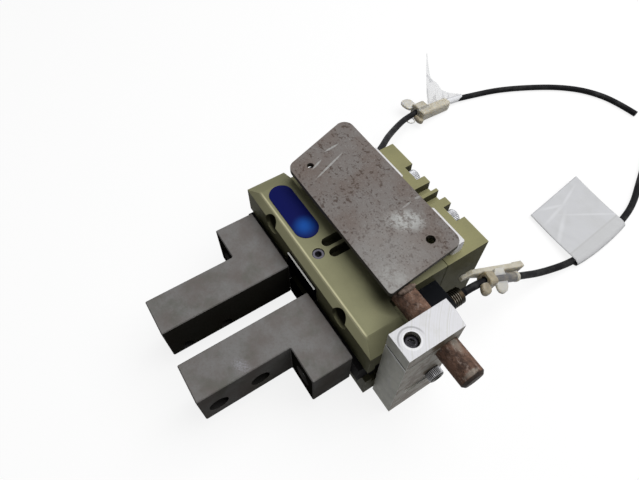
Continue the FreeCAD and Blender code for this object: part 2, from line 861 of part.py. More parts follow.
def build_cam_plate():
    body = new_body("cam_plate")
    plate = along(body, "plate")
    pin_y = from_front(d.drive_pin_y)
    slot_front = pin_y - d.stroke
    front = slot_front - d.cam_margin
    narrow = d.drive_pin_x - d.stroke + d.cam_margin
    wide = d.drive_pin_x + d.cam_margin
    tail = d.cam_tail_width / 2
    right = [
        (narrow, front), (narrow, slot_front), (wide, pin_y), (wide, CAM_REAR),
        (tail, CAM_REAR), (tail, FORK_ROOT),
    ]
    polygon(plate, right + [(-x, y) for x, y in reversed(right)])
    pad(body, plate, d.cam_thickness, both=True)

    slots = along(body, "slots")
    groove = d.drive_pin_radius + d.drive_pin_clearance
    for side in (1, -1):
        outer = (d.drive_pin_x * side, pin_y)
        inner = ((d.drive_pin_x - d.stroke) * side, slot_front)
        slot(slots, outer, inner, groove)
    pocket(body, slots, d.cam_thickness, both=True)

    pin_hole = along(body, "pin_hole")
    circle(pin_hole, (ZERO, ROD_PIN_Y), d.rod_pin_radius)
    pocket(body, pin_hole, d.cam_thickness, both=True)
    keep(body, "cam_plate")


def upright_pin(name, x, y, reach, radius):
    """A round pin along Z, centred on the middle plane."""
    feature = doc.addObject("Part::Cylinder", name)
    bind(feature, "Radius", radius)
    bind(feature, "Height", as_size(reach) * 2)
    place(feature, x, y, -as_size(reach))
    return keep(feature, name)


# Jaws, from the right-hand side and mirrored
def build_base_jaw():
    body = new_body("base_jaw_right")
    section = sideways(body, "section", d.jaw_inner)
    upper = guide_half(d.guide_clearance, d.jaw_proud)
    polygon(section, upper + below(upper))
    pad(body, section, SIDE - d.jaw_end_gap - d.jaw_inner)

    slit = along(body, "slit")
    slit_end = d.drive_pin_x + d.cam_margin + d.stroke + d.cam_room
    slit_front = from_front(d.drive_pin_y) - d.stroke - d.cam_margin - d.cam_room
    rectangle(slit, d.jaw_inner, slit_end, slit_front, from_front(d.slot_depth))
    pocket(body, slit, d.cam_thickness + d.cam_room * 2, both=True)

    pin_hole = along(body, "pin_hole")
    circle(pin_hole, (d.drive_pin_x, from_front(d.drive_pin_y)), d.drive_pin_radius)
    pocket(body, pin_hole, d.groove_height, both=True)

    thread = across(body, "thread", FINGER_ROOT)
    circle(thread, (FINGER_SCREW_X, ZERO), d.finger_screw_radius + d.thread_clearance)
    pocket(body, thread, d.finger_screw_reach + d.thread_runout)

    sleeve_seat = across(body, "sleeve_seat", FINGER_ROOT)
    circle(sleeve_seat, (FINGER_SCREW_X, ZERO), d.sleeve_radius)
    pocket(body, sleeve_seat, d.sleeve_depth)

    dowel_hole = across(body, "dowel_hole", FINGER_ROOT)
    circle(dowel_hole, (d.dowel_x, ZERO), d.dowel_radius)
    pocket(body, dowel_hole, d.dowel_depth)
    mirrored(keep(body, "base_jaw_right"), "base_jaw_left")


def finger_form(name, hole_radius, hole_z):
    """A right-hand finger whose two cross holes have the given radius and height."""
    body = new_body(name)
    outline = along(body, "outline")
    step = FINGER_ROOT - d.finger_base_depth
    tip = FINGER_ROOT - d.finger_length
    arm = d.finger_inner + d.finger_arm_width
    polygon(outline, [
        (d.finger_inner, FINGER_ROOT), (d.finger_inner, tip), (arm, tip), (arm, step),
        (d.finger_outer, step), (d.finger_outer, FINGER_ROOT),
    ])
    block = pad(body, outline, d.finger_thickness, both=True)
    chamfer_all(body, block, d.finger_edge)

    cross_holes = sideways(body, "cross_holes", d.finger_inner)
    far_hole = tip + d.finger_hole_tip
    for hole_y in (far_hole, far_hole + d.finger_hole_pitch):
        circle(cross_holes, (hole_y, hole_z), hole_radius)
    pocket(body, cross_holes, d.finger_arm_width, back=True)

    clearance = across(body, "screw_hole", FINGER_ROOT)
    circle(clearance, (FINGER_SCREW_X, ZERO), d.finger_screw_radius + d.screw_clearance)
    pocket(body, clearance, d.finger_base_depth, back=True)

    counterbore = across(body, "counterbore", step)
    circle(counterbore, (FINGER_SCREW_X, ZERO), d.finger_head_radius + d.screw_clearance)
    pocket(body, counterbore, d.finger_counterbore_depth)

    sleeve_seat = across(body, "sleeve_seat", FINGER_ROOT)
    circle(sleeve_seat, (FINGER_SCREW_X, ZERO), d.sleeve_radius)
    pocket(body, sleeve_seat, d.sleeve_depth, back=True)

    dowel_hole = across(body, "dowel_hole", FINGER_ROOT)
    circle(dowel_hole, (d.dowel_x, ZERO), d.dowel_radius)
    pocket(body, dowel_hole, d.dowel_reach, back=True)
    return body


def build_fingers():
    right = finger_form("finger_right", d.finger_hole_radius, -d.finger_hole_drop)
    keep(right, "finger_right")
    low = d.low_hole_edge - d.finger_thickness / 2
    left = finger_form("finger_left_form", d.low_hole_radius, low)
    mirrored(left, "finger_left")


def build_finger_fixings():
    seat = FINGER_ROOT - d.finger_base_depth + d.finger_counterbore_depth
    screw = cap_screw("finger_screw_right", d.finger_screw_radius, d.finger_head_radius,
                      d.finger_head_height, FINGER_ROOT - seat + d.finger_screw_reach)
    turn(screw, (0, 0, 1), 90)
    place(screw, FINGER_SCREW_X, seat, ZERO)
    mirrored(keep(screw, "finger_screw_right"), "finger_screw_left")

    sleeve = new_body("finger_sleeve_right")
    ring = across(sleeve, "ring", FINGER_ROOT)
    circle(ring, (FINGER_SCREW_X, ZERO), d.sleeve_radius)
    circle(ring, (FINGER_SCREW_X, ZERO), d.finger_screw_radius + d.screw_clearance)
    pad(sleeve, ring, d.sleeve_depth * 2, both=True)
    mirrored(keep(sleeve, "finger_sleeve_right"), "finger_sleeve_left")

    dowel = new_body("finger_dowel_right")
    section = across(dowel, "section", FINGER_ROOT + d.dowel_depth)
    circle(section, (d.dowel_x, ZERO), d.dowel_radius)
    pad(dowel, section, d.dowel_depth + d.dowel_reach)
    mirrored(keep(dowel, "finger_dowel_right"), "finger_dowel_left")

    pin_reach = d.rib_height / 2 - d.guide_clearance - d.drive_pin_inset
    pin = upright_pin("drive_pin_right", d.drive_pin_x, from_front(d.drive_pin_y), pin_reach,
                      d.drive_pin_radius)
    mirrored(pin, "drive_pin_left")


# Plate support
BLOCK_OUTER = SIDE + d.block_width
BLOCK_REAR = from_front(d.block_front + d.block_depth)
ROD_Y = BLOCK_REAR - d.support_rod_inset
CLAMP_SCREW_SPOT = (SIDE + d.block_width / 2, from_front(d.clamp_screw_y))


def build_clamp_block():
    body = new_body("clamp_block")
    front = from_front(d.block_front)
    outline = along(body, "outline", -TOP)
    polygon(outline, [
        (SIDE, front), (BLOCK_OUTER, front), (BLOCK_OUTER, BLOCK_REAR - d.block_taper),
        (SIDE + d.block_width / 2, BLOCK_REAR), (SIDE, BLOCK_REAR),
    ])
    pad(body, outline, d.block_top + TOP)

    step = sideways(body, "step", BLOCK_OUTER)
    rectangle(step, from_front(d.block_step_front), BLOCK_REAR, -d.block_step_low, d.block_step_top)
    pocket(body, step, d.block_step)

    bore = sideways(body, "bore", SIDE)
    circle(bore, (ROD_Y, d.support_rod_z), d.support_rod_radius + d.support_rod_clearance)
    pocket(body, bore, d.block_width, back=True)

    slit = sideways(body, "slit", SIDE)
    half = d.clamp_slit / 2
    slit_z = d.support_rod_z + d.clamp_slit_rise
    rectangle(slit, front, ROD_Y, slit_z - half, slit_z + half)
    pocket(body, slit, d.block_width, back=True)

    sink = along(body, "screw_sink", d.block_top)
    circle(sink, CLAMP_SCREW_SPOT, d.clamp_head_radius + d.screw_clearance)
    pocket(body, sink, d.clamp_sink)

    hole = along(body, "screw_hole", d.block_top)
    circle(hole, CLAMP_SCREW_SPOT, d.clamp_screw_radius + d.thread_clearance)
    pocket(body, hole, d.clamp_sink + d.clamp_screw_reach + d.thread_runout)

    side_hole = sideways(body, "side_hole", SIDE)
    circle(side_hole, BLOCK_SCREW_SPOT, d.screw_radius + d.screw_clearance)
    pocket(body, side_hole, d.block_width, back=True)
    keep(body, "clamp_block")


def build_block_screws():
    clamp = cap_screw("clamp_screw", d.clamp_screw_radius, d.clamp_head_radius,
                      d.clamp_head_height, d.clamp_screw_reach)
    turn(clamp, (0, 1, 0), 90)
    place(clamp, CLAMP_SCREW_SPOT[0], CLAMP_SCREW_SPOT[1], d.block_top - d.clamp_sink)
    keep(clamp, "clamp_screw")

    side = cap_screw("block_screw", d.screw_radius, d.screw_head_radius,
                     d.screw_head_height, d.block_screw_reach - d.block_step)
    turn(side, (0, 0, 1), 180)
    place(side, BLOCK_OUTER - d.block_step, from_front(d.block_screw_y), -d.block_screw_z)
    keep(side, "block_screw")


def build_support_rod():
    inner = d.plate_front_right - d.support_rod_lap
    length = BLOCK_OUTER + d.support_rod_free - inner
    edge = d.support_rod_edge
    radius = d.support_rod_radius
    body = turned("support_rod", [
        (ZERO, ZERO), (ZERO, radius), (length - edge, radius), (length, radius - edge), (length, ZERO),
    ])
    place(body, inner, ROD_Y, d.support_rod_z)
    return keep(body, "support_rod")


def upright_edges(feature):
    """Name and foot of each straight edge that runs along Z."""
    found = []
    for number, edge in enumerate(feature.Shape.Edges, start=1):
        if abs(edge.tangentAt(edge.FirstParameter).z) > 0.99:
            foot = min((vertex.Point for vertex in edge.Vertexes), key=lambda point: point.z)
            found.append(("Edge%d" % number, foot))
    return found


def build_top_plate():
    body = new_body("top_plate")
    outline = along(body, "outline", PLATE_UNDERSIDE)
    front = from_front(d.plate_front)
    rear = from_front(d.plate_rear)
    polygon(outline, [
        (-d.plate_front_left, front), (d.plate_front_right, front),
        (d.plate_rear_right, rear), (-d.plate_rear_left, rear),
    ])
    sheet_metal = pad(body, outline, d.plate_thickness)
    doc.recompute()
    weld_corner = FreeCAD.Vector(d.plate_front_right.value, front.value, PLATE_UNDERSIDE.value)
    sharp = [name for name, spot in upright_edges(sheet_metal) if spot.distanceToPoint(weld_corner) < 1e-3]
    small = body.newObject("PartDesign::Fillet", "top_plate_weld_corner")
    small.Base = (sheet_metal, sharp)
    bind(small, "Radius", d.plate_weld_corner)
    doc.recompute()
    other = [
        name for name, spot in upright_edges(small)
        if spot.distanceToPoint(weld_corner) > d.plate_weld_corner.value * 2
    ]
    corners = body.newObject("PartDesign::Fillet", "top_plate_corners")
    corners.Base = (small, other)
    bind(corners, "Radius", d.plate_corner)

    left_hole = along(body, "left_hole", PLATE_UNDERSIDE)
    spot = (d.plate_hole_inset - d.plate_front_left, front + d.plate_hole_setback)
    circle(left_hole, spot, d.plate_hole_radius)
    pocket(body, left_hole, d.plate_thickness, back=True)

    right_hole = along(body, "right_hole", PLATE_UNDERSIDE)
    spot = (d.plate_slot_hole_x, from_front(d.plate_slot_hole_y))
    circle(right_hole, spot, d.plate_slot_hole_radius)
    pocket(body, right_hole, d.plate_thickness, back=True)
    return keep(body, "top_plate")


def build_weld_bead(rod, plate):
    """A run of weld in the corner between the plate's edge and the top of the rod."""
    bead = doc.addObject("Part::Cylinder", "weld_run")
    bind(bead, "Radius", d.weld_radius)
    bind(bead, "Height", d.weld_length)
    turn(bead, (1, 0, 0), -90)
    place(bead, d.plate_front_right + d.weld_offset, ROD_Y - d.weld_length / 2, PLATE_UNDERSIDE)
    trimmed = doc.addObject("Part::Cut", "weld_on_rod")
    trimmed.Base = bead
    trimmed.Tool = rod
    seated = doc.addObject("Part::Cut", "weld_bead")
    seated.Base = trimmed
    seated.Tool = plate
    keep(seated, "weld_bead")


def build_foam_pads():
    thickness = PLATE_UNDERSIDE - TOP
    depth = d.pad_rear - d.pad_front
    left = box("pad_left", -d.pad_left_outer, from_front(d.pad_front), TOP,
               d.pad_left_outer - d.pad_left_inner, depth, thickness)
    right = box("pad_right", d.pad_right_inner, from_front(d.pad_front), TOP,
                d.pad_right_outer - d.pad_right_inner, depth, thickness)
    group("foam_pads", [left, right])


# Sensors
def build_sensor():
    length = d.sensor_length
    radius = d.sensor_radius
    waist = d.sensor_waist
    nose = d.sensor_nose
    shoulder = length - d.sensor_tail
    body = turned("sensor_right", [
        (ZERO, ZERO), (ZERO, waist), (nose, waist), (nose, radius), (shoulder, radius),
        (shoulder, waist), (length, waist), (length, ZERO),
    ])
    turn(body, (0, 0, 1), 90)
    place(body, SENSOR_X, from_front(d.slot_depth + d.sensing_gap), d.sensor_z)
    mirrored(keep(body, "sensor_right"), "sensor_left")


def build_sensor_nut():
    body = new_body("sensor_nut_right")
    face = across(body, "face", BRACKET_FRONT + d.bracket_depth)
    hexagon(face, (SENSOR_X, d.sensor_z), d.sensor_nut_radius)
    circle(face, (SENSOR_X, d.sensor_z), d.sensor_radius + d.sensor_clearance)
    pad(body, face, d.sensor_nut_width, back=True)
    mirrored(keep(body, "sensor_nut_right"), "sensor_nut_left")


def build_sensor_bracket():
    body = new_body("sensor_bracket_right")
    face = across(body, "face", BRACKET_FRONT)
    rectangle(face, NECK, BRACKET_OUTER, d.sensor_z - d.bracket_drop, d.sensor_z + d.bracket_rise)
    pad(body, face, d.bracket_depth, back=True)

    bore = across(body, "bore", BRACKET_FRONT)
    circle(bore, (SENSOR_X, d.sensor_z), d.sensor_radius + d.sensor_clearance)
    pocket(body, bore, d.bracket_depth)

    slit = across(body, "slit", BRACKET_FRONT)
    half = d.bracket_slit / 2
    rectangle(slit, SENSOR_X, BRACKET_OUTER, d.sensor_z - half, d.sensor_z + half)
    pocket(body, slit, d.bracket_depth)

    sink = sideways(body, "screw_sink", BRACKET_OUTER)
    circle(sink, BRACKET_SCREW_SPOT, d.bracket_head_radius + d.thread_clearance)
    pocket(body, sink, d.bracket_head_height)
    hole = sideways(body, "screw_hole", BRACKET_OUTER)
    circle(hole, BRACKET_SCREW_SPOT, d.bracket_screw_radius + d.thread_clearance)
    pocket(body, hole, d.bracket_width)
    mirrored(keep(body, "sensor_bracket_right"), "sensor_bracket_left")


def build_bracket_screws():
    screws = []
    seat = BRACKET_OUTER - d.bracket_head_height
    for side, name, bearing in ((1, "bracket_screw_1", 180), (-1, "bracket_screw_2", 0)):
        screw = cap_screw(name, d.bracket_screw_radius, d.bracket_head_radius,
                          d.bracket_head_height, seat - NECK + d.bracket_screw_reach)
        turn(screw, (0, 0, 1), bearing)
        place(screw, seat * side, BRACKET_SCREW_SPOT[0], BRACKET_SCREW_SPOT[1])
        screws.append(screw)
    group("bracket_screws", screws)


# Cables
def rounded_path(points):
    """Straight runs joined by tangent arcs, each as large as its two runs allow."""
    spots = [FreeCAD.Vector(*point) for point in points]
    edges = []
    radii = []
    start = spots[0]
    for before, corner, after in zip(spots, spots[1:], spots[2:]):
        back = (before - corner).normalize()
        onward = (after - corner).normalize()
        reach = ARC_SHARE * min((before - corner).Length, (after - corner).Length)
        entry = corner + back * reach
        leave = corner + onward * reach
        half_turn = (math.pi - back.getAngle(onward)) / 2
        radius = reach / math.tan(half_turn)
        bisector = (back + onward).normalize()
        centre_distance = math.hypot(radius, reach)
        crest = corner + bisector * (centre_distance - radius)
        edges.append(Part.LineSegment(start, entry).toShape())
        edges.append(Part.Arc(entry, crest, leave).toShape())
        radii.append(radius)
        start = leave
    edges.append(Part.LineSegment(start, spots[-1]).toShape())
    return Part.Wire(edges), radii


def build_cable(label, points):
    path, radii = rounded_path(points)
    radius = d.cable_radius.value
    start = FreeCAD.Vector(*points[0])
    heading = FreeCAD.Vector(*points[1]) - start
    section = Part.Wire([Part.makeCircle(radius, start, heading)])
    tube = path.makePipeShell([section], True, True)
    expected = math.pi * radius ** 2 * path.Length
    print("%s: length %.1f, least radius %.1f, volume ratio %.4f"
          % (label, path.Length, min(radii), tube.Volume / expected))
    feature = doc.addObject("Part::Feature", label)
    feature.Shape = tube
    keep(feature, label)


def set_down(feature, label, spot, heading, tilt=0):
    """Places a loose piece on a cable, turned to its heading and tilted down."""
    feature.Placement = FreeCAD.Placement(FreeCAD.Vector(*spot), FreeCAD.Rotation(heading, tilt, 0))
    keep(feature, label)


def build_cable_clip(label, seat, side, back, ahead):
    """A nylon clip on the cable: a ring, a long tongue on one side and two lugs on the other."""
    body = new_body(label)
    half = d.clip_length / 2
    width = d.clip_width / 2
    ring = along(body, "ring")
    rectangle(ring, -half, half, -width, width)
    pad(body, ring, d.clip_height, both=True)

    tongue = along(body, "tongue")
    inner = width * side
    outer = (width + d.tongue_width) * side
    polygon(tongue, [
        (-back, inner), (ahead, inner), (ahead, outer), (-back, outer),
    ])
    pad(body, tongue, d.tongue_height, both=True)

    lugs = along(body, "lugs")
    reach = -(width + d.clip_lug_radius) * side
    for lug_x in (-half + d.clip_lug_radius, half - d.clip_lug_radius):
        slot(lugs, (lug_x, -width * side), (lug_x, reach), d.clip_lug_radius)
    pad(body, lugs, d.clip_lug_height, both=True)

    bore = sideways(body, "bore", -half)
    circle(bore, (ZERO, ZERO), d.clip_bore)
    pocket(body, bore, d.clip_length, back=True)
    set_down(body, label, *seat)


def build_flat_label():
    """A blank paper label that lies on the surface beside its cable."""
    body = new_body("flag_label_right")
    outline = along(body, "outline")
    rectangle(outline, ZERO, d.label_width, ZERO, d.label_length)
    pad(body, outline, d.label_thickness)
    set_down(body, "flag_label_right", *LABEL_RIGHT)


def build_standing_label():
    """A blank paper label folded round its cable: a wing along the cable and a flag that stands up."""
    body = new_body("flag_label_left")
    wing = across(body, "wing", ZERO)
    polygon(wing, [
        (ZERO, ZERO), (d.wing_length, ZERO), (d.wing_length, d.wing_far_height),
        (d.wing_length / 2, d.wing_near_height / 2), (ZERO, d.wing_near_height),
    ])
    pad(body, wing, d.flag_thickness, both=True)

    flag = along(body, "flag")
    bearing = math.radians(d.flag_angle.value)
    reach = (d.flag_width * math.cos(bearing), d.flag_width * math.sin(bearing))
    aside = (-d.flag_thickness / 2 * math.sin(bearing), d.flag_thickness / 2 * math.cos(bearing))
    polygon(flag, [
        (-aside[0], -aside[1]), (reach[0] - aside[0], reach[1] - aside[1]),
        (reach[0] + aside[0], reach[1] + aside[1]), (aside[0], aside[1]),
    ])
    pad(body, flag, d.flag_height)
    set_down(body, "flag_label_left", *LABEL_LEFT)


def write_parts():
    doc.recompute()
    for feature in doc.Objects:
        if "Invalid" in feature.State or "Error" in feature.State:
            raise RuntimeError("%s failed: %s" % (feature.Label, feature.State))
        if feature.TypeId == "PartDesign::Pocket":
            before = feature.BaseFeature.Shape.Volume
            if feature.Shape.Volume > before - 1e-6:
                raise RuntimeError("%s cuts nothing" % feature.Label)
    os.makedirs("parts", exist_ok=True)
    for feature in subparts:
        shape = feature.Shape
        if shape.isNull() or not shape.isValid():
            raise RuntimeError("%s has no valid solid" % feature.Label)
        shape.exportStep(os.path.join("parts", feature.Label + ".step"))
    print("%d pieces written" % len(subparts))


build_housing()
build_rear_cover()
build_cover_seal()
build_cover_screws()
build_plug_screw()
build_badge()
build_centre_strips()
build_piston()
build_piston_seal()
build_rod_seal()
build_cam_plate()
upright_pin("rod_pin", ZERO, ROD_PIN_Y, d.rod_pin_reach, d.rod_pin_radius)
build_base_jaw()
build_fingers()
build_finger_fixings()
build_clamp_block()
build_block_screws()
support_rod = build_support_rod()
top_plate = build_top_plate()
build_weld_bead(support_rod, top_plate)
build_foam_pads()
build_sensor()
build_sensor_nut()
build_sensor_bracket()
build_bracket_screws()
build_cable("cable_right", ROUTE_RIGHT)
build_cable("cable_left", ROUTE_LEFT)
build_cable_clip("cable_clip_right", CLIP_RIGHT, 1, d.tongue_back_right, d.tongue_ahead_right)
build_cable_clip("cable_clip_left", CLIP_LEFT, -1, d.tongue_back_left, d.tongue_ahead_left)
build_flat_label()
build_standing_label()
write_parts()
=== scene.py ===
"""A used two-jaw parallel gripper on a pale floor: finishes for its solids, and its cables and small parts."""
import math

import bmesh
import bpy
import numpy as np
from mathutils import Matrix, Vector


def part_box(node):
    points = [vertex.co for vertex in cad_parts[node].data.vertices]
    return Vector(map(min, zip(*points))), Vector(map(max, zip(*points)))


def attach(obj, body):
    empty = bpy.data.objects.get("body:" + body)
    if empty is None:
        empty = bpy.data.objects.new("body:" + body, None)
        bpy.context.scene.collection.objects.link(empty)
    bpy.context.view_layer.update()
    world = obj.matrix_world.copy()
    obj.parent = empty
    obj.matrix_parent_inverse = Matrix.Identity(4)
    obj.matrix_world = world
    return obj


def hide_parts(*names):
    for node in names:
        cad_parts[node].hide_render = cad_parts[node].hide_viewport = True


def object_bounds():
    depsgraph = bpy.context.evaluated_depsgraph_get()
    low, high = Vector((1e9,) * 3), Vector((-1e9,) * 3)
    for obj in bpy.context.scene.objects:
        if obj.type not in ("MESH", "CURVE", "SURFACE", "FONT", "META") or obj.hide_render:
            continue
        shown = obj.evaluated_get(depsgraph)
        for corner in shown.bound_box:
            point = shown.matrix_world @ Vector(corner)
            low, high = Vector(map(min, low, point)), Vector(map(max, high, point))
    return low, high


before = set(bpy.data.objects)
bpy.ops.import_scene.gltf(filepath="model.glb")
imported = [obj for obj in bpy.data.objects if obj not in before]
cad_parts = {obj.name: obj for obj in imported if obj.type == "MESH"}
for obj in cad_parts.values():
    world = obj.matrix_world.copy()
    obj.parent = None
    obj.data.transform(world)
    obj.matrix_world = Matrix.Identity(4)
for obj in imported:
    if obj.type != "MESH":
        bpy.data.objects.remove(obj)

bl_info = {
    "name": "Parallel gripper",
    "version": (1, 0, 0),
    "blender": (4, 5, 0),
    "location": "3D View > Sidebar > Gripper",
    "description": "Dresses the solids of a two-jaw parallel gripper and sets up a plain stage",
    "category": "Object",
}

CAD_BOX = [list(corner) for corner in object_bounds()]
MM = 0.001
TURN = 2 * math.pi
HOUSE = "gripper_body"
SIDES = ("right", "left")
FLOOR_HEIGHT = CAD_BOX[0][2]
FLOOR_HALF = 6.0

# Cable routes in millimetres, the same points as in the solid model
ROUTES = {
    "right": [
        (41, -15.4, 6.5), (41, -6, 6.5), (43, 6.2, 0.5), (45, 22.6, -9.5), (47, 36, -16.5),
        (50.3, 57.2, -20.6), (49.5, 78.8, -20.6), (46.5, 99.1, -20.6), (42.5, 113, -20.6),
        (34, 129, -20.6), (24, 148, -20.6), (11, 167.5, -20.6), (-3, 183, -20.6)],
    "left": [
        (-41, -15.4, 6.5), (-41, -7, 6.5), (-43.6, 1, 5.6), (-48.5, 8.2, 2.5), (-56.5, 18.5, -3),
        (-65, 31.5, -10), (-71.5, 44, -14.5), (-75.2, 60, -17.8), (-73.8, 80.5, -19.6), (-70.6, 97, -20.6),
        (-64.9, 117.5, -20.6), (-52.8, 141.1, -20.6), (-43, 155, -20.6), (-32.2, 164.8, -20.6),
        (-18, 171.2, -20.6), (-3, 172.6, -20.6)],
}

# Places on the solids that the finishes mark, in millimetres
FRONT_EDGE_Y = -67.4
FRONT_BORE_X = 26.5
FRONT_BORE_Z = 17
FINGER_HOLES_Y = -114.8
FINGER_HOLE_HALF_PITCH = 9.2
PLATE_TOP = 31.8
ROD_END_X = 72.6
CLAMP_HOLE = (53.6, -59.4, 36.6)
SLIT_Z = 28.4
SENSOR_X = 41
SENSOR_Z = 6.5
PLUG_PLACE = (0, -62.8, 22)
BADGE_GLOW = (-14.2, -60.4, 23)
PAPER_Z = -20.3
PAPER_START_Y = 57.2
FOLD_X = 46.8
FOLD_SLOPE = 0.0907
FIN_FOOT_Z = -16
FIN_SLOPE = 0.0846

# Edges of the papers and the foam in millimetres: where a straight edge starts, and its run
FREE_EDGE_START = (17.7, 60.8, -20.9)
FREE_EDGE_RUN = (-4.86, 38.8, 2.9)
FIN_START = (-74.7, 64.5, -18.05)
FIN_RUN = (2.1, 26, -2.2)
FIN_SHARES = (0, 0.03, 0.07, 0.104, 0.282, 0.40, 0.593, 0.964, 1)
FIN_HEIGHTS = (31.6, 25, 18.5, 16, 11.9, 7.2, 4.2, 0.8, 0.4)
FOAM_INNER_EDGES = (-9.7, 10)

# Marks on level faces: start, end, width, softness and strength
PLATE_SCRATCHES = [
    ((-32.7, -44.7), (-35.2, -39.0), 0.9, 0.3, 1.0),
    ((-27.4, -46.0), (-33.4, -29.6), 0.9, 0.3, 1.0),
    ((-38.5, -34.7), (-39.2, -27.3), 0.9, 0.3, 1.0),
    ((4.9, -25.2), (4.0, -19.7), 0.9, 0.3, 0.7),
    ((3.8, -17.7), (3.9, -15.2), 1.2, 0.3, 0.6),
]
PAPER_CREASES = [
    ((22.5, 79.8), (18.3, 67.8), 1.6, 0.7, 1.0),
    ((22.5, 79.8), (17.2, 93.8), 1.4, 0.7, 1.0),
    ((22.5, 79.8), (26.1, 64.2), 1.6, 0.8, 1.0),
    ((27.6, 75.6), (39.0, 58.1), 2.0, 0.8, 1.0),
    ((27.6, 75.6), (43.2, 99.4), 1.2, 0.8, 1.0),
]


# Settings
def shade(red, green, blue):
    """A colour given in display values from 0 to 255, as linear light."""
    display = np.array([red, green, blue]) / 255
    linear = np.where(display > 0.04045, ((display + 0.055) / 1.055) ** 2.4, display / 12.92)
    return tuple(float(part) for part in linear)


def colour(name, description, red, green, blue):
    return bpy.props.FloatVectorProperty(
        name=name, description=description, subtype="COLOR", size=3, min=0, max=1,
        default=shade(red, green, blue))


def length(name, description, millimetres):
    return bpy.props.FloatProperty(
        name=name, description=description, unit="LENGTH", min=0, default=millimetres * MM)


def number(name, description, default):
    return bpy.props.FloatProperty(name=name, description=description, default=default)


def spot(name, description, millimetres):
    return bpy.props.FloatVectorProperty(
        name=name, description=description, subtype="TRANSLATION", unit="LENGTH", size=3,
        default=[value * MM for value in millimetres])


class GripperSizes(bpy.types.PropertyGroup):
    """Sizes of the pieces that are made here."""
    cable_radius: length("Cable radius", "Half the thickness of the sensor cables", 1.75)
    thread_pitch: length("Thread pitch", "Pitch of the sensor barrels", 1.0)
    thread_depth: length("Thread depth", "Depth of the sensor threads", 0.5)
    sensor_nose: length("Sensor nose", "Length of the plain sensing end", 2)
    sensor_tail: length("Sensor tail", "Length of the plain cable end", 2)
    sensor_neck: length("Sensor neck", "Length of the thin neck that the cable leaves from", 2.4)
    sensor_waist: length("Sensor waist", "Radius of both plain ends", 3.8)
    knurls: bpy.props.IntProperty(
        name="Knurls", description="Number of teeth round a screw head", min=3, default=30)
    knurl_depth: length("Knurl depth", "Depth of the teeth round a screw head", 0.3)
    badge_dome: length("Badge dome", "Rise of the clear dome over the badge", 0.55)
    badge_rim: length("Badge rim", "Height of the badge's upright rim", 0.3)
    pad_bulge: length("Pad bulge", "How far the sides of the foam swell", 0.2)
    pad_corner: length("Pad corner", "Corner radius of the foam pads", 0.8)
    pad_room: length("Pad room", "How far the foam stays back from the front of its place", 2.4)
    weld_radius: length("Weld radius", "Radius of the weld at its thickest", 1.25)
    weld_lift: length("Weld lift", "How far the weld stands above the middle of its place", 0.3)
    paper: length("Paper", "Thickness of the paper flags", 0.18)


class GripperColours(bpy.types.PropertyGroup):
    """Colours of the finishes."""
    olive: colour("Olive", "Anodised housing", 144, 143, 112)
    olive_cover: colour("Cover olive", "Anodised rear cover", 145, 142, 103)
    # Also paints the highlight on the front top edge and the painted light on the front bevel
    olive_wear_and_highlight: colour("Worn edge", "Bare metal along the edges of the housing", 214, 210, 172)
    olive_dirt: colour("Housing dirt", "Dull stains on the housing", 120, 118, 92)
    steel: colour("Finger steel", "Dark machined steel of the fingers", 133, 132, 131)
    steel_stain: colour("Finger stain", "Purple-brown film on the fingers", 114, 107, 103)
    steel_green: colour("Finger oil", "Greenish oil film on the fingers", 104, 106, 98)
    steel_bright: colour("Finger scratch", "Bare scratches on the fingers", 176, 176, 184)
    plate: colour("Plate", "Dull grey of the plate", 125, 120, 117)
    plate_rust: colour("Plate rust", "Brown film on the plate", 110, 97, 90)
    plate_pit: colour("Plate pits", "Dark corrosion pits", 76, 63, 56)
    plate_scrape: colour("Plate scrape", "Bare metal where the plate was scraped", 184, 185, 183)
    rust: colour("Rust", "Rust on the rod", 121, 93, 78)
    rust_dark: colour("Dark rust", "Deep rust and scale", 50, 38, 32)
    rust_bare: colour("Rubbed rust", "Rubbed steel showing through rust", 166, 148, 138)
    milled: colour("Milled aluminium", "Fresh cut top of the clamp block", 197, 197, 201)
    dull: colour("Dull aluminium", "Sides of the clamp block", 172, 172, 162)
    bright: colour("Bright steel", "Zinc plated screws", 150, 151, 154)
    hard: colour("Hardened steel", "Pins and cam plate", 92, 91, 92)
    # Near black as painted shade: the base jaws sit in shadow
    jaw: colour("Jaw steel", "Oiled base jaws", 26, 25, 26)
    black: colour("Black steel", "Blackened screws", 46, 45, 49)
    plug: colour("Plug", "Dull rim of the plug screw", 104, 102, 114)
    nickel: colour("Nickel", "Crests of the sensor threads", 205, 198, 184)
    # Brown also serves as painted shade on the block's outer side and the lock nuts, and in the sensor's
    # painted highlight band
    brown: colour("Brown film", "Film in the sensor threads and on the block", 74, 60, 44)
    plastic: colour("Black plastic", "Sensor brackets", 13, 15, 19)
    sheath: colour("Cable sheath", "Black cable", 25, 25, 27)
    nylon: colour("Nylon", "Natural nylon of the clips", 200, 194, 178)
    nylon_tan: colour("Tan nylon", "Thick parts of the clips", 166, 156, 132)
    nylon_pale: colour("Pale nylon", "Thin parts of the clips", 218, 215, 207)
    paper: colour("Paper", "Blank paper flags", 213, 214, 217)
    foam: colour("Foam", "White foam under the plate", 236, 235, 236)
    rubber: colour("Rubber", "Seals", 28, 28, 28)
    badge: colour("Badge", "Navy of the badge", 18, 24, 86)
    badge_light: colour("Badge light", "Royal blue glow of the badge", 34, 92, 182)
    weld: colour("Weld", "Weld bead", 118, 102, 92)
    # Dark tone for painted shade on sides, steps, holes, the slit, knurl gaps, plate edges and sensor threads
    shade_colour: colour("Grime", "Oily dirt on the sides and in the corners", 26, 24, 16)


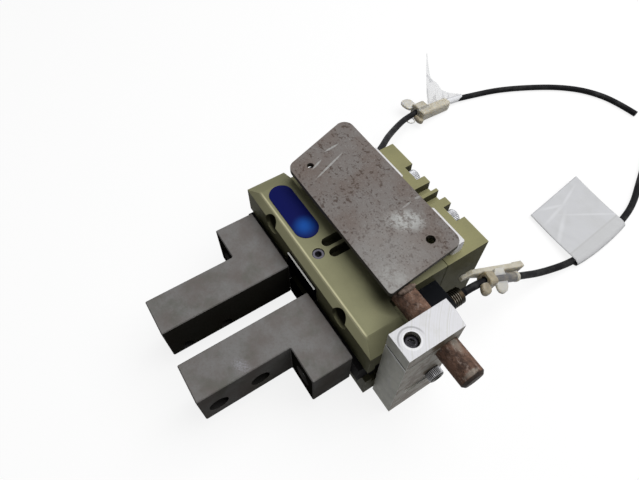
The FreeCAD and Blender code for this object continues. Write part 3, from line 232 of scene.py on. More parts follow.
class StageSettings(bpy.types.PropertyGroup):
    """Camera, lights and floor."""
    camera_place: spot("Camera place", "Where the camera stands", (92.387, -122.218, 197.996))
    camera_aim: spot("Camera aim", "Point that the camera looks at", (-17.817, -50.700, 0))
    camera_roll: bpy.props.FloatProperty(
        name="Camera roll", description="Turn about the line of sight", subtype="ANGLE",
        default=math.radians(0.4375))
    lens: number("Lens", "Focal length on a 36 mm wide sensor, in millimetres", 28.643)
    floor_colour: colour("Floor", "Pale floor", 118, 118, 118)
    world_strength: number("World", "Even light from all round", 0.13)
    floor_glow: number("Floor glow", "White that the floor adds for the camera and for mirrors", 0.85)
    key_power: number("Key light", "Power of the large light above the back, in watts", 5.8)
    key_place: spot("Key place", "Where the key light hangs", (60, 270, 690))
    key_size: length("Key size", "Side of the key light", 760)
    fill_power: number("Fill light", "Power of the light from the right, in watts", 0.12)
    fill_place: spot("Fill place", "Where the fill light stands", (600, -150, 350))
    fill_size: length("Fill size", "Side of the fill light", 500)


class GripperSettings(bpy.types.PropertyGroup):
    """All settings of the gripper."""
    sizes: bpy.props.PointerProperty(type=GripperSizes)
    colours: bpy.props.PointerProperty(type=GripperColours)
    stage: bpy.props.PointerProperty(type=StageSettings)


# Shader nodes
class Value:
    """One shader socket. Arithmetic on it adds Math nodes to its tree."""

    def __init__(self, nodes, socket):
        self.nodes = nodes
        self.socket = socket

    def math(self, operation, first, second):
        return self.nodes.node("ShaderNodeMath", {0: first, 1: second}, operation=operation)

    def __add__(self, other):
        return self.math("ADD", self, other)

    def __sub__(self, other):
        return self.math("SUBTRACT", self, other)

    def __rsub__(self, other):
        return self.math("SUBTRACT", other, self)

    def __mul__(self, other):
        return self.math("MULTIPLY", self, other)

    def __truediv__(self, other):
        return self.math("DIVIDE", self, other)

    def __pow__(self, other):
        return self.math("POWER", self, other)

    __radd__ = __add__
    __rmul__ = __mul__

    def __abs__(self):
        return self.math("ABSOLUTE", self, 0.0)

    def most(self, *others):
        """The largest of several values."""
        total = self
        for other in others:
            total = self.math("MAXIMUM", total, other)
        return total

    def rise(self, low, high):
        """0 below low, 1 above high and a smooth step between; low may be the larger one."""
        return self.nodes.node("ShaderNodeMapRange", {
            "Value": self, "From Min": low, "From Max": high}, interpolation_type="SMOOTHSTEP")


class Nodes:
    """The emptied node tree of a material or world."""

    def __init__(self, owner):
        owner.use_nodes = True
        self.tree = owner.node_tree
        self.tree.nodes.clear()

    def feed(self, node, sockets):
        """Links or sets the sockets of a node, found by their identifier, name or number."""
        for key, value in sockets.items():
            if isinstance(key, int):
                target = node.inputs[key]
            else:
                target = [s for s in node.inputs if key in (s.identifier, s.name)][0]
            if isinstance(value, Value):
                self.tree.links.new(value.socket, target)
            elif hasattr(value, "__len__") and len(value) == 3 and target.type == "RGBA":
                target.default_value = (*value, 1)
            else:
                target.default_value = value

    def node(self, kind, sockets=None, output=0, **settings):
        """Adds a node, sets it up, feeds it and returns one of its outputs."""
        node = self.tree.nodes.new(kind)
        for key, value in settings.items():
            setattr(node, key, value)
        self.feed(node, sockets or {})
        if isinstance(output, int):
            return Value(self, node.outputs[output])
        return Value(self, [s for s in node.outputs if output in (s.identifier, s.name)][0])

    def close(self, kind, surface):
        """Adds the tree's output node."""
        self.feed(self.tree.nodes.new(kind), {"Surface": surface})

    def backdrop_rays(self):
        """1 for the rays of the camera and of mirrors and glass, which see the plain white backdrop."""
        camera, glossy, through = (
            self.node("ShaderNodeLightPath", output="Is %s Ray" % kind)
            for kind in ("Camera", "Glossy", "Transmission"))
        return camera.most(glossy, through)


class Finish(Nodes):
    """A material with one Principled shader, and the patterns that feed it."""

    def __init__(self, name, **constants):
        self.material = bpy.data.materials.new(name)
        super().__init__(self.material)
        self.shader = self.tree.nodes.new("ShaderNodeBsdfPrincipled")
        self.close("ShaderNodeOutputMaterial", Value(self, self.shader.outputs[0]))
        self.set(**constants)
        object_place = self.node("ShaderNodeTexCoord", output="Object")
        self.place = self.node("ShaderNodeMapping", {"Vector": object_place, "Scale": (1 / MM,) * 3})

    def set(self, **sockets):
        """Feeds the shader; underscores in the names stand for spaces."""
        self.feed(self.shader, {key.replace("_", " "): value for key, value in sockets.items()})

    def done(self, skin, roughness, height=None, depth=0.0, edge=None):
        """Sets colour, roughness and normal: a height field of range depth over edges rounded by edge."""
        self.set(Base_Color=skin, Roughness=roughness)
        normal = {} if edge is None else {"Normal": self.round_edges(edge)}
        if height is not None:
            normal = {"Normal": self.node("ShaderNodeBump", {
                "Height": height, "Distance": depth * MM, "Strength": 1.0, **normal})}
        self.set(**normal)
        return self.material

    def mix(self, factor, first, second):
        """A colour between two colours."""
        return self.node("ShaderNodeMix", {
            "Factor_Float": factor, "A_Color": first, "B_Color": second}, "Result_Color", data_type="RGBA")

    def layers(self, base, *coats):
        """A base colour under coats of (factor, colour), each laid over the ones before."""
        for factor, coat in coats:
            base = self.mix(factor, base, coat)
        return base

    def spread(self, stretch=(1, 1, 1), shift=(0, 0, 0), turn=0.0):
        """The millimetre coordinates, moved, turned about Z and then stretched."""
        turned = self.node("ShaderNodeMapping", {
            "Vector": self.place, "Location": shift, "Rotation": (0, 0, turn)}, vector_type="TEXTURE")
        return self.node("ShaderNodeMapping", {
            "Vector": turned, "Scale": tuple(1 / amount for amount in stretch)})

    def noise(self, size, detail=3.0, roughness=0.55, place=None):
        """Cloudy noise from 0 to 1 whose features measure about size millimetres."""
        return self.node("ShaderNodeTexNoise", {
            "Vector": place or self.place, "Scale": 1 / size, "Detail": detail, "Roughness": roughness})

    def axes(self, names, place=None):
        """The named coordinates of a place, in millimetres."""
        return [self.node("ShaderNodeSeparateXYZ", {"Vector": place or self.place}, name) for name in names]

    def facing(self, names):
        """How far the surface faces along the named axes."""
        return self.axes(names, self.node("ShaderNodeNewGeometry", output="Normal"))

    def distance(self, place):
        """How far a place is from the origin of its coordinates."""
        return self.node("ShaderNodeVectorMath", {0: place}, "Value", operation="LENGTH")

    def near(self, centre, reach, soft, turn=0.0):
        """1 inside an ellipsoid about a centre and 0 outside, with a soft rim; sizes in millimetres."""
        return self.distance(self.spread(reach, centre, turn)).rise(1 + soft, 1 - soft)

    def strokes(self, height, lines):
        """1 along any of several marks at one height: start, end, width, softness and strength."""
        marks = []
        for start, end, width, soft, strength in lines:
            run_x, run_y = end[0] - start[0], end[1] - start[1]
            middle = ((start[0] + end[0]) / 2, (start[1] + end[1]) / 2, height)
            reach = (math.hypot(run_x, run_y) / 2, width / 2, 3)
            marks.append(self.near(middle, reach, soft, math.atan2(run_y, run_x)) * strength)
        return marks[0].most(*marks[1:])

    def off_axis(self, first, second):
        """Distance from a line, from two coordinates less their places on it."""
        return (first ** 2.0 + second ** 2.0) ** 0.5

    def round_edges(self, radius):
        """The surface normal as if every edge were rounded; radius in millimetres."""
        return self.node("ShaderNodeBevel", {"Radius": radius * MM}, samples=6)

    def edge_wear(self, radius):
        """1 along the edges and 0 on the flats, from how far the rounded normal leans over."""
        flat = self.node("ShaderNodeNewGeometry", output="Normal")
        agree = self.node("ShaderNodeVectorMath", {0: self.round_edges(radius), 1: flat}, "Value",
                          operation="DOT_PRODUCT")
        return (1 - agree).rise(0.01, 0.22)


# Finishes
def olive_anodised(colours, name, tone):
    """Satin olive anodising: faint clouds, a few dull stains, and bare metal along the edges.

    The front top edge is worn bright over a band about a millimetre wide, with a painted highlight on it, and
    the front bevel is lightened with painted light. Painted shade darkens the upright sides, the front lip,
    the low front, the front bores and grooves, the top under the plate's right front edge, the corner between
    the plate and the clamp block, and the far left end."""
    finish = Finish(name, Specular_IOR_Level=0.04)
    x, y, z = finish.axes("XYZ")
    aside, forward = finish.facing("XY")
    clouds = finish.noise(9, detail=4)
    grain = finish.noise(0.35, detail=2)
    stains = finish.noise(16, detail=5, roughness=0.65).rise(0.56, 0.75)
    wear = finish.edge_wear(0.4) * finish.noise(5).rise(0.3, 0.6)
    ragged = finish.noise(4, detail=4) * 0.5
    # Worn front top edge, with a painted highlight on it
    edge = abs(y - FRONT_EDGE_Y).rise(0.85, 0.25) * z.rise(21.4, 22.1) * abs(x).rise(42, 38) * (0.55 + ragged)
    # Painted light: the front bevel face is lightened
    bevel = forward.rise(-0.6, -0.7) * forward.rise(-0.95, -0.85)
    # Painted shade: upright sides, front lip, low front, front bores and grooves, the block's and the plate's
    # shadows, and the far left end
    sides = aside.rise(0.6, 0.95) * 0.78
    lip = forward.rise(-0.88, -0.98) * 0.66
    to_bore = finish.off_axis(abs(x) - FRONT_BORE_X, abs(z) - FRONT_BORE_Z)
    bores = to_bore.rise(4.75, 4.6) * y.rise(-70.2, -68.2) * 0.98
    grooves = abs(x).rise(5.4, 5.0) * z.rise(22.3, 21.6) * y.rise(-60.5, -59) * y.rise(-20, -24) * 0.93
    low = z.rise(7, 4) * y.rise(-58, -64) * 0.9
    end_bevel = aside.rise(0.25, 0.36) * (0.55 + y.rise(-68, -58) * 0.35)
    corner = finish.near((46, -52, 20), (10, 10, 10), 0.7).most(end_bevel * x.rise(38, 41)) * 0.75
    under_plate = finish.near((34, -51.5, 22.5), (10, 5, 8), 0.7) * 0.72
    far = x.rise(-24, -46) * 0.16
    painted_shade = sides.most(lip, bores, grooves, low, corner, under_plate, far) * (0.9 + ragged * 0.2)
    skin = finish.layers(
        tone,
        (clouds.rise(0.3, 0.75) * 0.3, colours.olive_dirt),
        (stains * 0.3, colours.olive_dirt),
        (grain * 0.12, colours.olive_wear_and_highlight),
        ((wear * 0.5).most(edge), colours.olive_wear_and_highlight),
        (bevel * 0.22, colours.olive_wear_and_highlight),
        (painted_shade, colours.shade_colour))
    return finish.done(skin, 0.48 - wear * 0.12 + clouds * 0.12, grain, 0.03, 0.25)


def finger_steel(colours):
    """Dark ground steel: cloudy purple-brown and greenish films, fine grain, and one scuffed patch.

    The sides, the steps and the cross holes are darkened with painted shade."""
    finish = Finish("finger_steel", Specular_IOR_Level=0.0)
    x, y, z = finish.axes("XYZ")
    aside, forward = finish.facing("XY")
    clouds = finish.noise(13, detail=5, roughness=0.6)
    film = finish.noise(9, detail=5, roughness=0.65, place=finish.spread(shift=(31, 7, 5)))
    fine = finish.noise(0.9, detail=4, roughness=0.75)
    ragged = finish.noise(0.7, detail=4, roughness=0.7).rise(0.3, 0.75)
    scuff = finish.near((20.6, -110.6, 11.15), (3.4, 2.0, 2), 0.8, 0.5) * ragged
    wear = finish.edge_wear(0.35) * finish.noise(3.5).rise(0.4, 0.65)
    # Painted shade on the sides, deepest on the left finger's inner side, on the front steps and in the cross
    # holes
    sides = aside.rise(0.6, 0.95) * (0.34 + x.rise(1, -1) * 0.57)
    steps = forward.rise(-0.6, -0.95) * y.rise(-130, -128) * 0.93
    along = abs(y - FINGER_HOLES_Y) - FINGER_HOLE_HALF_PITCH
    right_bores = finish.off_axis(along, z + 2.1).rise(4.15, 4.02) * x.rise(-1, 1)
    left_bores = finish.off_axis(along, z + 8.1).rise(2.6, 2.47) * x.rise(1, -1)
    skin = finish.layers(
        colours.steel,
        (clouds.rise(0.36, 0.68) * 0.75, colours.steel_stain),
        (film.rise(0.46, 0.7) * 0.6, colours.steel_green),
        (fine.rise(0.42, 0.75) * 0.45, colours.steel_stain),
        ((wear * 0.22).most(scuff * 0.75), colours.steel_bright),
        (sides.most(steps), colours.shade_colour),
        (right_bores.most(left_bores) * 0.98, (0.001, 0.001, 0.001)))
    return finish.done(skin, 0.5 + clouds * 0.14 - wear * 0.1, fine, 0.04, 0.3)


def zinc_plate(colours):
    """Dull galvanised sheet: brown film, ragged dark pits, a scraped patch and a few long scratches.

    The pits are the peaks of a coarse noise that a wider noise thins out. The right end is paler."""
    finish = Finish("zinc_plate", Specular_IOR_Level=0.15)
    clouds = finish.noise(14, detail=5, roughness=0.62)
    film = finish.noise(5, detail=5, roughness=0.7)
    fine = finish.noise(0.8, roughness=0.75)
    crowd = finish.noise(10, detail=2)
    pits = (finish.noise(1.7) + crowd * 0.3).rise(0.73, 0.82)
    specks = finish.noise(0.9, roughness=0.6, place=finish.spread(shift=(3, 9, 1)))
    specks = (specks + crowd * 0.2).rise(0.69, 0.77)
    pale = finish.near((22, -44, PLATE_TOP), (20, 14, 20), 0.55, -0.5)
    blocky = finish.noise(3.2, detail=5, roughness=0.8)
    scrape = finish.near((10.6, -27.6, PLATE_TOP), (6.8, 4.6, 3), 0.6, 1.0) * blocky.rise(0.4, 0.56)
    scratch = finish.strokes(PLATE_TOP, PLATE_SCRATCHES) * (0.5 + fine.rise(0.3, 0.6) * 0.5)
    corner = finish.near((31, -48.5, PLATE_TOP), (8, 6, 3), 0.7) * blocky.rise(0.3, 0.6) * 0.55
    # Painted shade on the plate's edges
    rim = 1 - finish.facing("Z")[0].rise(0.2, 0.7)
    skin = finish.layers(
        colours.plate,
        (clouds.rise(0.34, 0.66) * 0.7, colours.plate_rust),
        (film.rise(0.5, 0.75) * 0.5, colours.plate_rust),
        (pale * 0.22, colours.plate_scrape),
        (fine.rise(0.5, 0.8) * 0.3, colours.plate_scrape),
        ((pits * (0.8 - pale * 0.45)).most(specks * 0.6), colours.plate_pit),
        ((scrape * 0.95).most(scratch * 0.75, corner), colours.plate_scrape),
        (rim * 0.85, colours.shade_colour))
    return finish.done(skin, 0.55 + film * 0.16 - scrape * 0.1, fine * 0.5 - pits, 0.08, 0.2)


def rusty_steel(colours):
    """A rusted bar: brown scale in patches, dark pits, steel worn through, a painted highlight along its top
    over worn steel, and a free end darkened with painted shade.
    """
    finish = Finish("rusty_steel", Specular_IOR_Level=0.2)
    scale = finish.noise(4.5, detail=6, roughness=0.7)
    fine = finish.noise(0.8, detail=4, roughness=0.7)
    pits = finish.noise(1.6, detail=4, roughness=0.65).rise(0.60, 0.70)
    along = finish.spread(stretch=(1.6, 1, 1))
    rubbed_and_highlight = finish.noise(1.3, detail=5, roughness=0.75, place=along).rise(0.52, 0.70)
    # Painted highlight along the top of the rod, over worn steel
    rubbed_highlight_middle = finish.near((60.6, -44.6, 29), (3.4, 1.4, 5), 0.6)
    rubbed_highlight_end = finish.near((71.9, -46.8, 29), (0.9, 2.6, 5), 0.5)
    # Painted shade on the free end
    end = finish.axes("X")[0].rise(ROD_END_X, ROD_END_X + 0.4)
    skin = finish.layers(
        colours.rust,
        (scale.rise(0.38, 0.64) * 0.9, colours.rust_dark),
        (rubbed_and_highlight * 0.6, colours.rust_bare),
        (fine.rise(0.5, 0.8) * 0.4, colours.rust_dark),
        (pits * 0.8, colours.rust_dark),
        (rubbed_highlight_middle.most(rubbed_highlight_end) * (0.35 + rubbed_and_highlight * 0.5), colours.dull),
        (end * 0.85, (0.01, 0.009, 0.008)))
    height = fine * 0.6 + scale * 0.4 - pits * 0.6
    return finish.done(skin, 0.6 + fine * 0.2 - rubbed_and_highlight * 0.2, height, 0.16, 0.3)


def milled_aluminium(colours):
    """Aluminium block: a fresh milled top with curved tool marks, duller sides, rubbed edges.

    The tool marks are a noise of the distance from a far centre. The hole's chamfer has a painted highlight,
    and a darker arc of tool marks lies on one side of the hole. The slit is darkened inside with painted shade
    and has a painted highlight along its front. The outer side is darker and browner: painted shade with a
    brown tint."""
    finish = Finish("milled_aluminium", Metallic=0.2, Specular_IOR_Level=0.2)
    y, z = finish.axes("YZ")
    aside, forward, upward = finish.facing("XYZ")
    level = upward.rise(0.5, 0.9)
    top = level * z.rise(31, 34)
    outer = aside.rise(0.5, 0.9)
    front = forward.rise(-0.6, -0.9)
    away = finish.distance(finish.spread(shift=(92.6, -7, 36)))
    sweep = finish.node("ShaderNodeTexNoise", {
        "W": away, "Scale": 1.5, "Detail": 4.0, "Roughness": 0.75}, noise_dimensions="1D")
    to_hole = finish.spread(shift=CLAMP_HOLE, stretch=(1, 1, 3))
    hole = finish.distance(to_hole)
    # Painted highlight on the hole's chamfer
    ring = hole.rise(3.8, 3.6) * top * 0.35
    arc = abs(hole - 4.9).rise(0.5, 0.15) * finish.axes("X", to_hole)[0].rise(1.5, -2.5) * top
    clouds = finish.noise(6, detail=5, roughness=0.65)
    fine = finish.noise(0.8)
    side_marks = finish.noise(0.7, detail=2, place=finish.spread(stretch=(10, 10, 1)))
    upright = finish.spread(stretch=(1, 1, 4))
    smears = finish.noise(1.6, detail=5, roughness=0.7, place=upright).rise(0.48, 0.7)
    stains = clouds.rise(0.45, 0.6).most(abs(z - 29.5).rise(2.2, 0.6)) * 0.35
    wear = finish.edge_wear(0.5) * finish.noise(4).rise(0.3, 0.55) * (1 - outer * 0.85)
    # Painted highlight along the front, just under the slit
    glint = front * abs(z - 27.5).rise(0.6, 0.3)
    front_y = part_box("clamp_block")[0].y / MM
    slit_mouth = front.most(level * y.rise(front_y + 1.6, front_y + 0.9))
    # Painted shade inside the slit, less at its front mouth
    slit = abs(z - SLIT_Z).rise(0.66, 0.56) * (0.9 - slit_mouth * 0.9)
    sides = finish.layers(
        colours.dull,
        (clouds.rise(0.35, 0.7) * 0.35, colours.hard),
        (smears * 0.25, colours.milled),
        # Painted shade with a brown tint on the outer side, stronger in clouds and in a band just above the
        # slit
        (outer * (0.6 + stains), colours.brown))
    cut = finish.layers(
        colours.milled,
        (sweep.rise(0.45, 0.72) * 0.5, colours.dull),
        (clouds.rise(0.5, 0.74) * 0.25, colours.dull),
        (arc * 0.5, colours.hard))
    skin = finish.layers(
        sides,
        (top, cut),
        ((wear * 0.7).most(ring, glint), (0.8, 0.8, 0.81)),
        (slit, colours.shade_colour))
    height = sweep * top + side_marks * (1 - top)
    return finish.done(skin, 0.46 - top * 0.06 + fine * 0.1, height, 0.04, 0.3)


def plain_metal(name, tone, dark, roughness, metallic, wear):
    """Machined metal: its own tone with cloudy darkening, fine turning marks and rubbed edges."""
    finish = Finish(name, Metallic=metallic, Specular_IOR_Level=0.03)
    clouds = finish.noise(4, detail=4)
    skin = finish.layers(
        tone,
        (clouds.rise(0.4, 0.75) * 0.5, dark),
        (finish.edge_wear(0.3) * wear, (1, 1, 1)))
    return finish.done(skin, roughness + clouds * 0.12, finish.noise(0.5, detail=2), 0.02, 0.15)


def knurled_steel(colours):
    """Zinc-plated screw head on the block: bright teeth with painted shade between them and on the flat end.

    The distance from the screw's axis tells a tooth from a gap."""
    finish = Finish("knurled_steel", Metallic=0.5, Specular_IOR_Level=0.3)
    low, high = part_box("block_screw")
    middle = (low + high) / (2 * MM)
    clouds = finish.noise(2, detail=4)
    y, z = finish.axes("YZ")
    end = finish.facing("X")[0].rise(0.6, 0.9)
    # Painted shade in the gaps between the teeth and on the flat end
    tooth = finish.off_axis(y - middle.y, z - middle.z).rise(3.24, 3.46) * (1 - end * 0.7)
    skin = finish.mix(tooth * (1.2 - clouds * 0.6), colours.shade_colour, colours.milled)
    return finish.done(skin, 0.32 + clouds * 0.2)


def sensor_metal(colours):
    """Nickel-plated brass: dark with painted shade, and a painted highlight along one side, where the crests
    of the thread shine and the grooves are browner.

    The distance from the sensor's axis tells a crest from a groove; the angle about the axis places the
    highlight."""
    finish = Finish("sensor_metal", Metallic=0.8, Specular_IOR_Level=0.3)
    x, z = finish.axes("XZ")
    clouds = finish.noise(2.5, detail=4)
    aside = abs(x) - SENSOR_X
    away = finish.off_axis(aside, z - SENSOR_Z)
    # Painted highlight: a band along one side of the barrel, where the crests shine
    rubbed_and_highlight = abs(aside / away - 0.35).rise(0.5, 0.15)
    crest = away.rise(3.82, 3.97) * (0.12 + rubbed_and_highlight * 0.88)
    # Painted shade over the whole barrel, with the highlight band browner and its crests bright
    skin = finish.layers(
        colours.shade_colour,
        (rubbed_and_highlight * 0.5, colours.brown),
        (crest * (1 - clouds.rise(0.5, 0.75) * 0.5), colours.nickel))
    return finish.done(skin, 0.34 + clouds * 0.2)


def brass_plug(colours):
    """Dull plug screw: a pale rim round a hexagon socket darkened with painted shade."""
    finish = Finish("plug_steel", Metallic=0.1, Specular_IOR_Level=0.2)
    clouds = finish.noise(1.5, detail=4)
    # Painted shade in the hexagon socket
    socket = finish.near(PLUG_PLACE, (1.5, 1.5, 6), 0.08)
    skin = finish.layers(
        colours.plug,
        (clouds.rise(0.4, 0.75) * 0.4, colours.hard),
        (socket * 0.92, colours.black))
    return finish.done(skin, 0.4 + clouds * 0.15, edge=0.2)


def edge_strip(colours):
    """Strip with near-black faces, painted shade, whose narrow polished top edge is bright with a painted
    highlight.
    """
    finish = Finish("edge_strip", Specular_IOR_Level=0.0)
    y, z = finish.axes("YZ")
    edge = finish.facing("Z")[0].rise(0.5, 0.9) * y.rise(-70.8, -71.05) * z.rise(9, 12)
    clouds = finish.noise(3, detail=4)
    # Painted shade on the faces; painted highlight on the polished top edge
    skin = finish.mix(edge * (0.75 + clouds * 0.5), (0.004, 0.004, 0.006), (0.85, 0.85, 0.82))
    return finish.done(skin, 0.45 + clouds * 0.15)


def black_plastic(colours):
    """Matt moulded plastic with a fine spark-eroded grain and paler rubbed edges."""
    finish = Finish("black_plastic", Specular_IOR_Level=0.03)
    grain = finish.noise(0.3, detail=2)
    dust = finish.noise(5, detail=4).rise(0.5, 0.8)
    skin = finish.layers(
        colours.plastic,
        (dust * 0.05, (0.4, 0.39, 0.37)),
        (finish.edge_wear(0.3) * 0.06, (0.5, 0.5, 0.5)))
    return finish.done(skin, 0.5 + grain * 0.1, grain, 0.03, 0.25)


def cable_sheath(colours):
    """Black plastic cable, slightly dusty, with a faint grain."""
    finish = Finish("cable_sheath", Specular_IOR_Level=0.06)
    dust = finish.noise(6, detail=4).rise(0.45, 0.8)
    grain = finish.noise(0.4, detail=2)
    skin = finish.mix(dust * 0.15, colours.sheath, (0.25, 0.25, 0.25))
    return finish.done(skin, 0.48 + grain * 0.15, grain, 0.02)


def natural_nylon(name, tone, dark):
    """Cloudy natural nylon that lets some light through."""
    finish = Finish(name, Subsurface_Weight=0.6, Subsurface_Scale=0.004, IOR=1.53)
    finish.shader.inputs["Subsurface Radius"].default_value = (1.0, 0.9, 0.7)
    clouds = finish.noise(4)
    skin = finish.mix(clouds.rise(0.35, 0.75) * 0.45, tone, dark)
    return finish.done(skin, 0.38 + clouds * 0.15, finish.noise(0.6, detail=2), 0.03)


def label_paper(colours):
    """Coated paper with a slightly grey handling film, painted highlights along long soft creases, a fold
    beside the cable painted as a darker line, and painted shade on the part beyond the fold.

    The creases run out from two points of the sheet; the fold is a line beside the cable's own line."""
    finish = Finish("label_paper", Specular_IOR_Level=0.1)
    x, y = finish.axes("XY")
    film = finish.noise(12, detail=4).rise(0.45, 0.8)
    beside = x + (y - PAPER_START_Y) * FOLD_SLOPE - FOLD_X
    skin = finish.layers(
        colours.paper,
        # Handling film, and painted shade on the part beyond the fold
        ((film * 0.25).most(beside.rise(-1, 1) * 0.22), (0.5, 0.5, 0.47)),
        # Painted highlights along the creases
        (finish.strokes(PAPER_Z, PAPER_CREASES) * 0.4, (0.86, 0.87, 0.9)),
        # Painted shade along the fold
        (abs(beside).rise(0.8, 0.1) * 0.3, (0.45, 0.45, 0.43)))
    return finish.done(skin, 0.6 + film * 0.1, finish.noise(9, detail=1), 0.5)


def thin_paper(colours):
    """Backing film of a label: it lets light through, except along folds and where it wraps the cable, and
    glows faintly in its own colour as painted light.

    The height above the cable tells the wrapped part from the fin."""
    # Emission: painted light that makes the paper glow
    finish = Finish("thin_paper", Specular_IOR_Level=0.1, Emission_Strength=0.3)
    y, z = finish.axes("YZ")
    film = finish.noise(9)
    folds = abs(finish.noise(8, detail=1, place=finish.spread(stretch=(1, 1, 3))) - 0.5).rise(0.04, 0.005)
    wrapped = (z - FIN_FOOT_Z + (y - FIN_START[1]) * FIN_SLOPE).rise(1.4, -0.2)
    skin = finish.mix(film * 0.2, colours.paper, (0.6, 0.6, 0.6))
    finish.set(Emission_Color=skin, Alpha=(0.3 + folds * 0.35).most(wrapped * 0.95))
    return finish.done(skin, 0.6 + film * 0.1)


def white_foam(colours):
    """Closed-cell foam: many tiny bubbles, each the distance from the nearest of many scattered points."""
    finish = Finish("white_foam")
    bubbles = finish.node("ShaderNodeTexVoronoi", {"Vector": finish.place, "Scale": 1 / 0.7}, "Distance")
    film = finish.noise(6, detail=4).rise(0.5, 0.8)
    skin = finish.mix(film * 0.2, colours.foam, (0.6, 0.58, 0.55))
    return finish.done(skin, 0.85 + bubbles * 0.1, bubbles, 0.15)


def seal_rubber(colours):
    """Matt black rubber."""
    finish = Finish("seal_rubber")
    bloom = finish.noise(3).rise(0.45, 0.8)
    return finish.done(finish.mix(bloom * 0.2, colours.rubber, (0.1, 0.1, 0.1)), 0.6 + bloom * 0.2)


def badge_enamel(colours):
    """Navy badge under a clear dome, with a soft blue glow near one end."""
    finish = Finish("badge_enamel", Specular_IOR_Level=0.04)
    glow = finish.near(BADGE_GLOW, (3.4, 3.4, 6), 0.95)
    cloud = finish.noise(8, detail=2)
    return finish.done(finish.mix(glow * (0.75 + cloud * 0.3), colours.badge, colours.badge_light), 0.5)


def weld_steel(colours):
    """Weld bead with rust in its ripples."""
    finish = Finish("weld_steel", Metallic=0.1, Specular_IOR_Level=0.2)
    scale = finish.noise(1.6, detail=5)
    skin = finish.mix(scale.rise(0.4, 0.65) * 0.6, colours.weld, colours.rust_dark)
    return finish.done(skin, 0.5 + scale * 0.25, scale, 0.05)


# Finishes by slot; plain metals as tone, dark, roughness, metallic and wear, nylons as tone and dark
SINGLE_FINISHES = (
    finger_steel, zinc_plate, rusty_steel, milled_aluminium, knurled_steel, sensor_metal, brass_plug,
    edge_strip, black_plastic, cable_sheath, label_paper, thin_paper, white_foam, seal_rubber, badge_enamel,
    weld_steel,
)
OLIVES = {"olive_anodised": "olive", "olive_cover": "olive_cover"}
PLAIN_METALS = {
    "piston_aluminium": ("milled", "dull", 0.3, 0.95, 0.3),
    "hardened_steel": ("hard", "black", 0.34, 0.95, 0.3),
    "black_screw_steel": ("black", "rubber", 0.4, 0.7, 0.3),
    "bright_steel": ("bright", "hard", 0.32, 0.8, 0.3),
    # Near black tone: painted shade on the base jaws
    "jaw_steel": ("jaw", "rubber", 0.6, 0.0, 0.05),
    # Dark brown: painted shade on the lock nuts
    "nut_steel": ("brown", "black", 0.4, 0.5, 0.3),
}
NYLONS = {
    "nylon": ("nylon", "nylon_tan"),
    "nylon_tan": ("nylon_tan", "plate_rust"),
    "nylon_pale": ("nylon_pale", "nylon"),
    "nylon_grey": ("hard", "nylon_tan"),
}
FINISHES = {}
SLOT_NODES = {
    "olive_anodised": ["housing"],
    "olive_cover": ["rear_cover"],
    "finger_steel": ["finger_right", "finger_left"],
    "jaw_steel": ["base_jaw_right", "base_jaw_left"],
    "hardened_steel": ["cam_plate", "drive_pin_right", "drive_pin_left", "rod_pin", "finger_dowel_right",
                       "finger_dowel_left", "finger_sleeve_right", "finger_sleeve_left"],
    "edge_strip": ["centre_strips"],
    "bright_steel": ["cover_screws", "block_screw"],
    "brass_plug": ["plug_screw"],
    "black_screw_steel": ["clamp_screw", "bracket_screws", "finger_screw_right", "finger_screw_left"],
    "piston_aluminium": ["piston"],
    "milled_aluminium": ["clamp_block"],
    "rusty_steel": ["support_rod"],
    "zinc_plate": ["top_plate"],
    "weld_steel": ["weld_bead"],
    "white_foam": ["foam_pads"],
    "sensor_metal": ["sensor_right", "sensor_left", "sensor_nut_right", "sensor_nut_left"],
    "black_plastic": ["sensor_bracket_right", "sensor_bracket_left"],
    "cable_sheath": ["cable_right", "cable_left"],
    "nylon": ["cable_clip_right", "cable_clip_left"],
    "label_paper": ["flag_label_right", "flag_label_left"],
    "seal_rubber": ["cover_seal", "rod_seal", "piston_seal"],
    "badge_enamel": ["badge"],
}


class GRIPPER_OT_finishes(bpy.types.Operator):
    """Make every finish and give the solids theirs"""
    bl_idname = "gripper.finishes"
    bl_label = "Finishes"

    def execute(self, context):
        colours = context.scene.gripper.colours
        for single in SINGLE_FINISHES:
            FINISHES[single.__name__] = single(colours)
        for name, tone in OLIVES.items():
            FINISHES[name] = olive_anodised(colours, name, getattr(colours, tone))
        for name, (tone, dark, *rest) in PLAIN_METALS.items():
            FINISHES[name] = plain_metal(name, getattr(colours, tone), getattr(colours, dark), *rest)
        for name, (tone, dark) in NYLONS.items():
            FINISHES[name] = natural_nylon(name, getattr(colours, tone), getattr(colours, dark))
        for slot, nodes in SLOT_NODES.items():
            for node in nodes:
                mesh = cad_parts[node].data
                mesh.materials.clear()
                mesh.materials.append(FINISHES[slot])
        bare = set(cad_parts) - {node for nodes in SLOT_NODES.values() for node in nodes}
        if bare:
            raise RuntimeError("no finish for %s" % sorted(bare))
        return {"FINISHED"}


# Surfaces
def add_object(name, data):
    """A new object in the scene."""
    item = bpy.data.objects.new(name, data)
    bpy.context.scene.collection.objects.link(item)
    return item


def strip_faces(rows, columns, closed, start):
    """Quads between neighbouring rows of a grid, and across its seam if it is closed."""
    row = np.arange(rows - 1)[:, None]
    column = np.arange(columns if closed else columns - 1)[None, :]
    after = (column + 1) % columns
    here = row * columns
    above = here + columns
    corners = np.broadcast_arrays(here + column, here + after, above + after, above + column)
    return np.stack(corners, axis=-1).reshape(-1, 4) + start


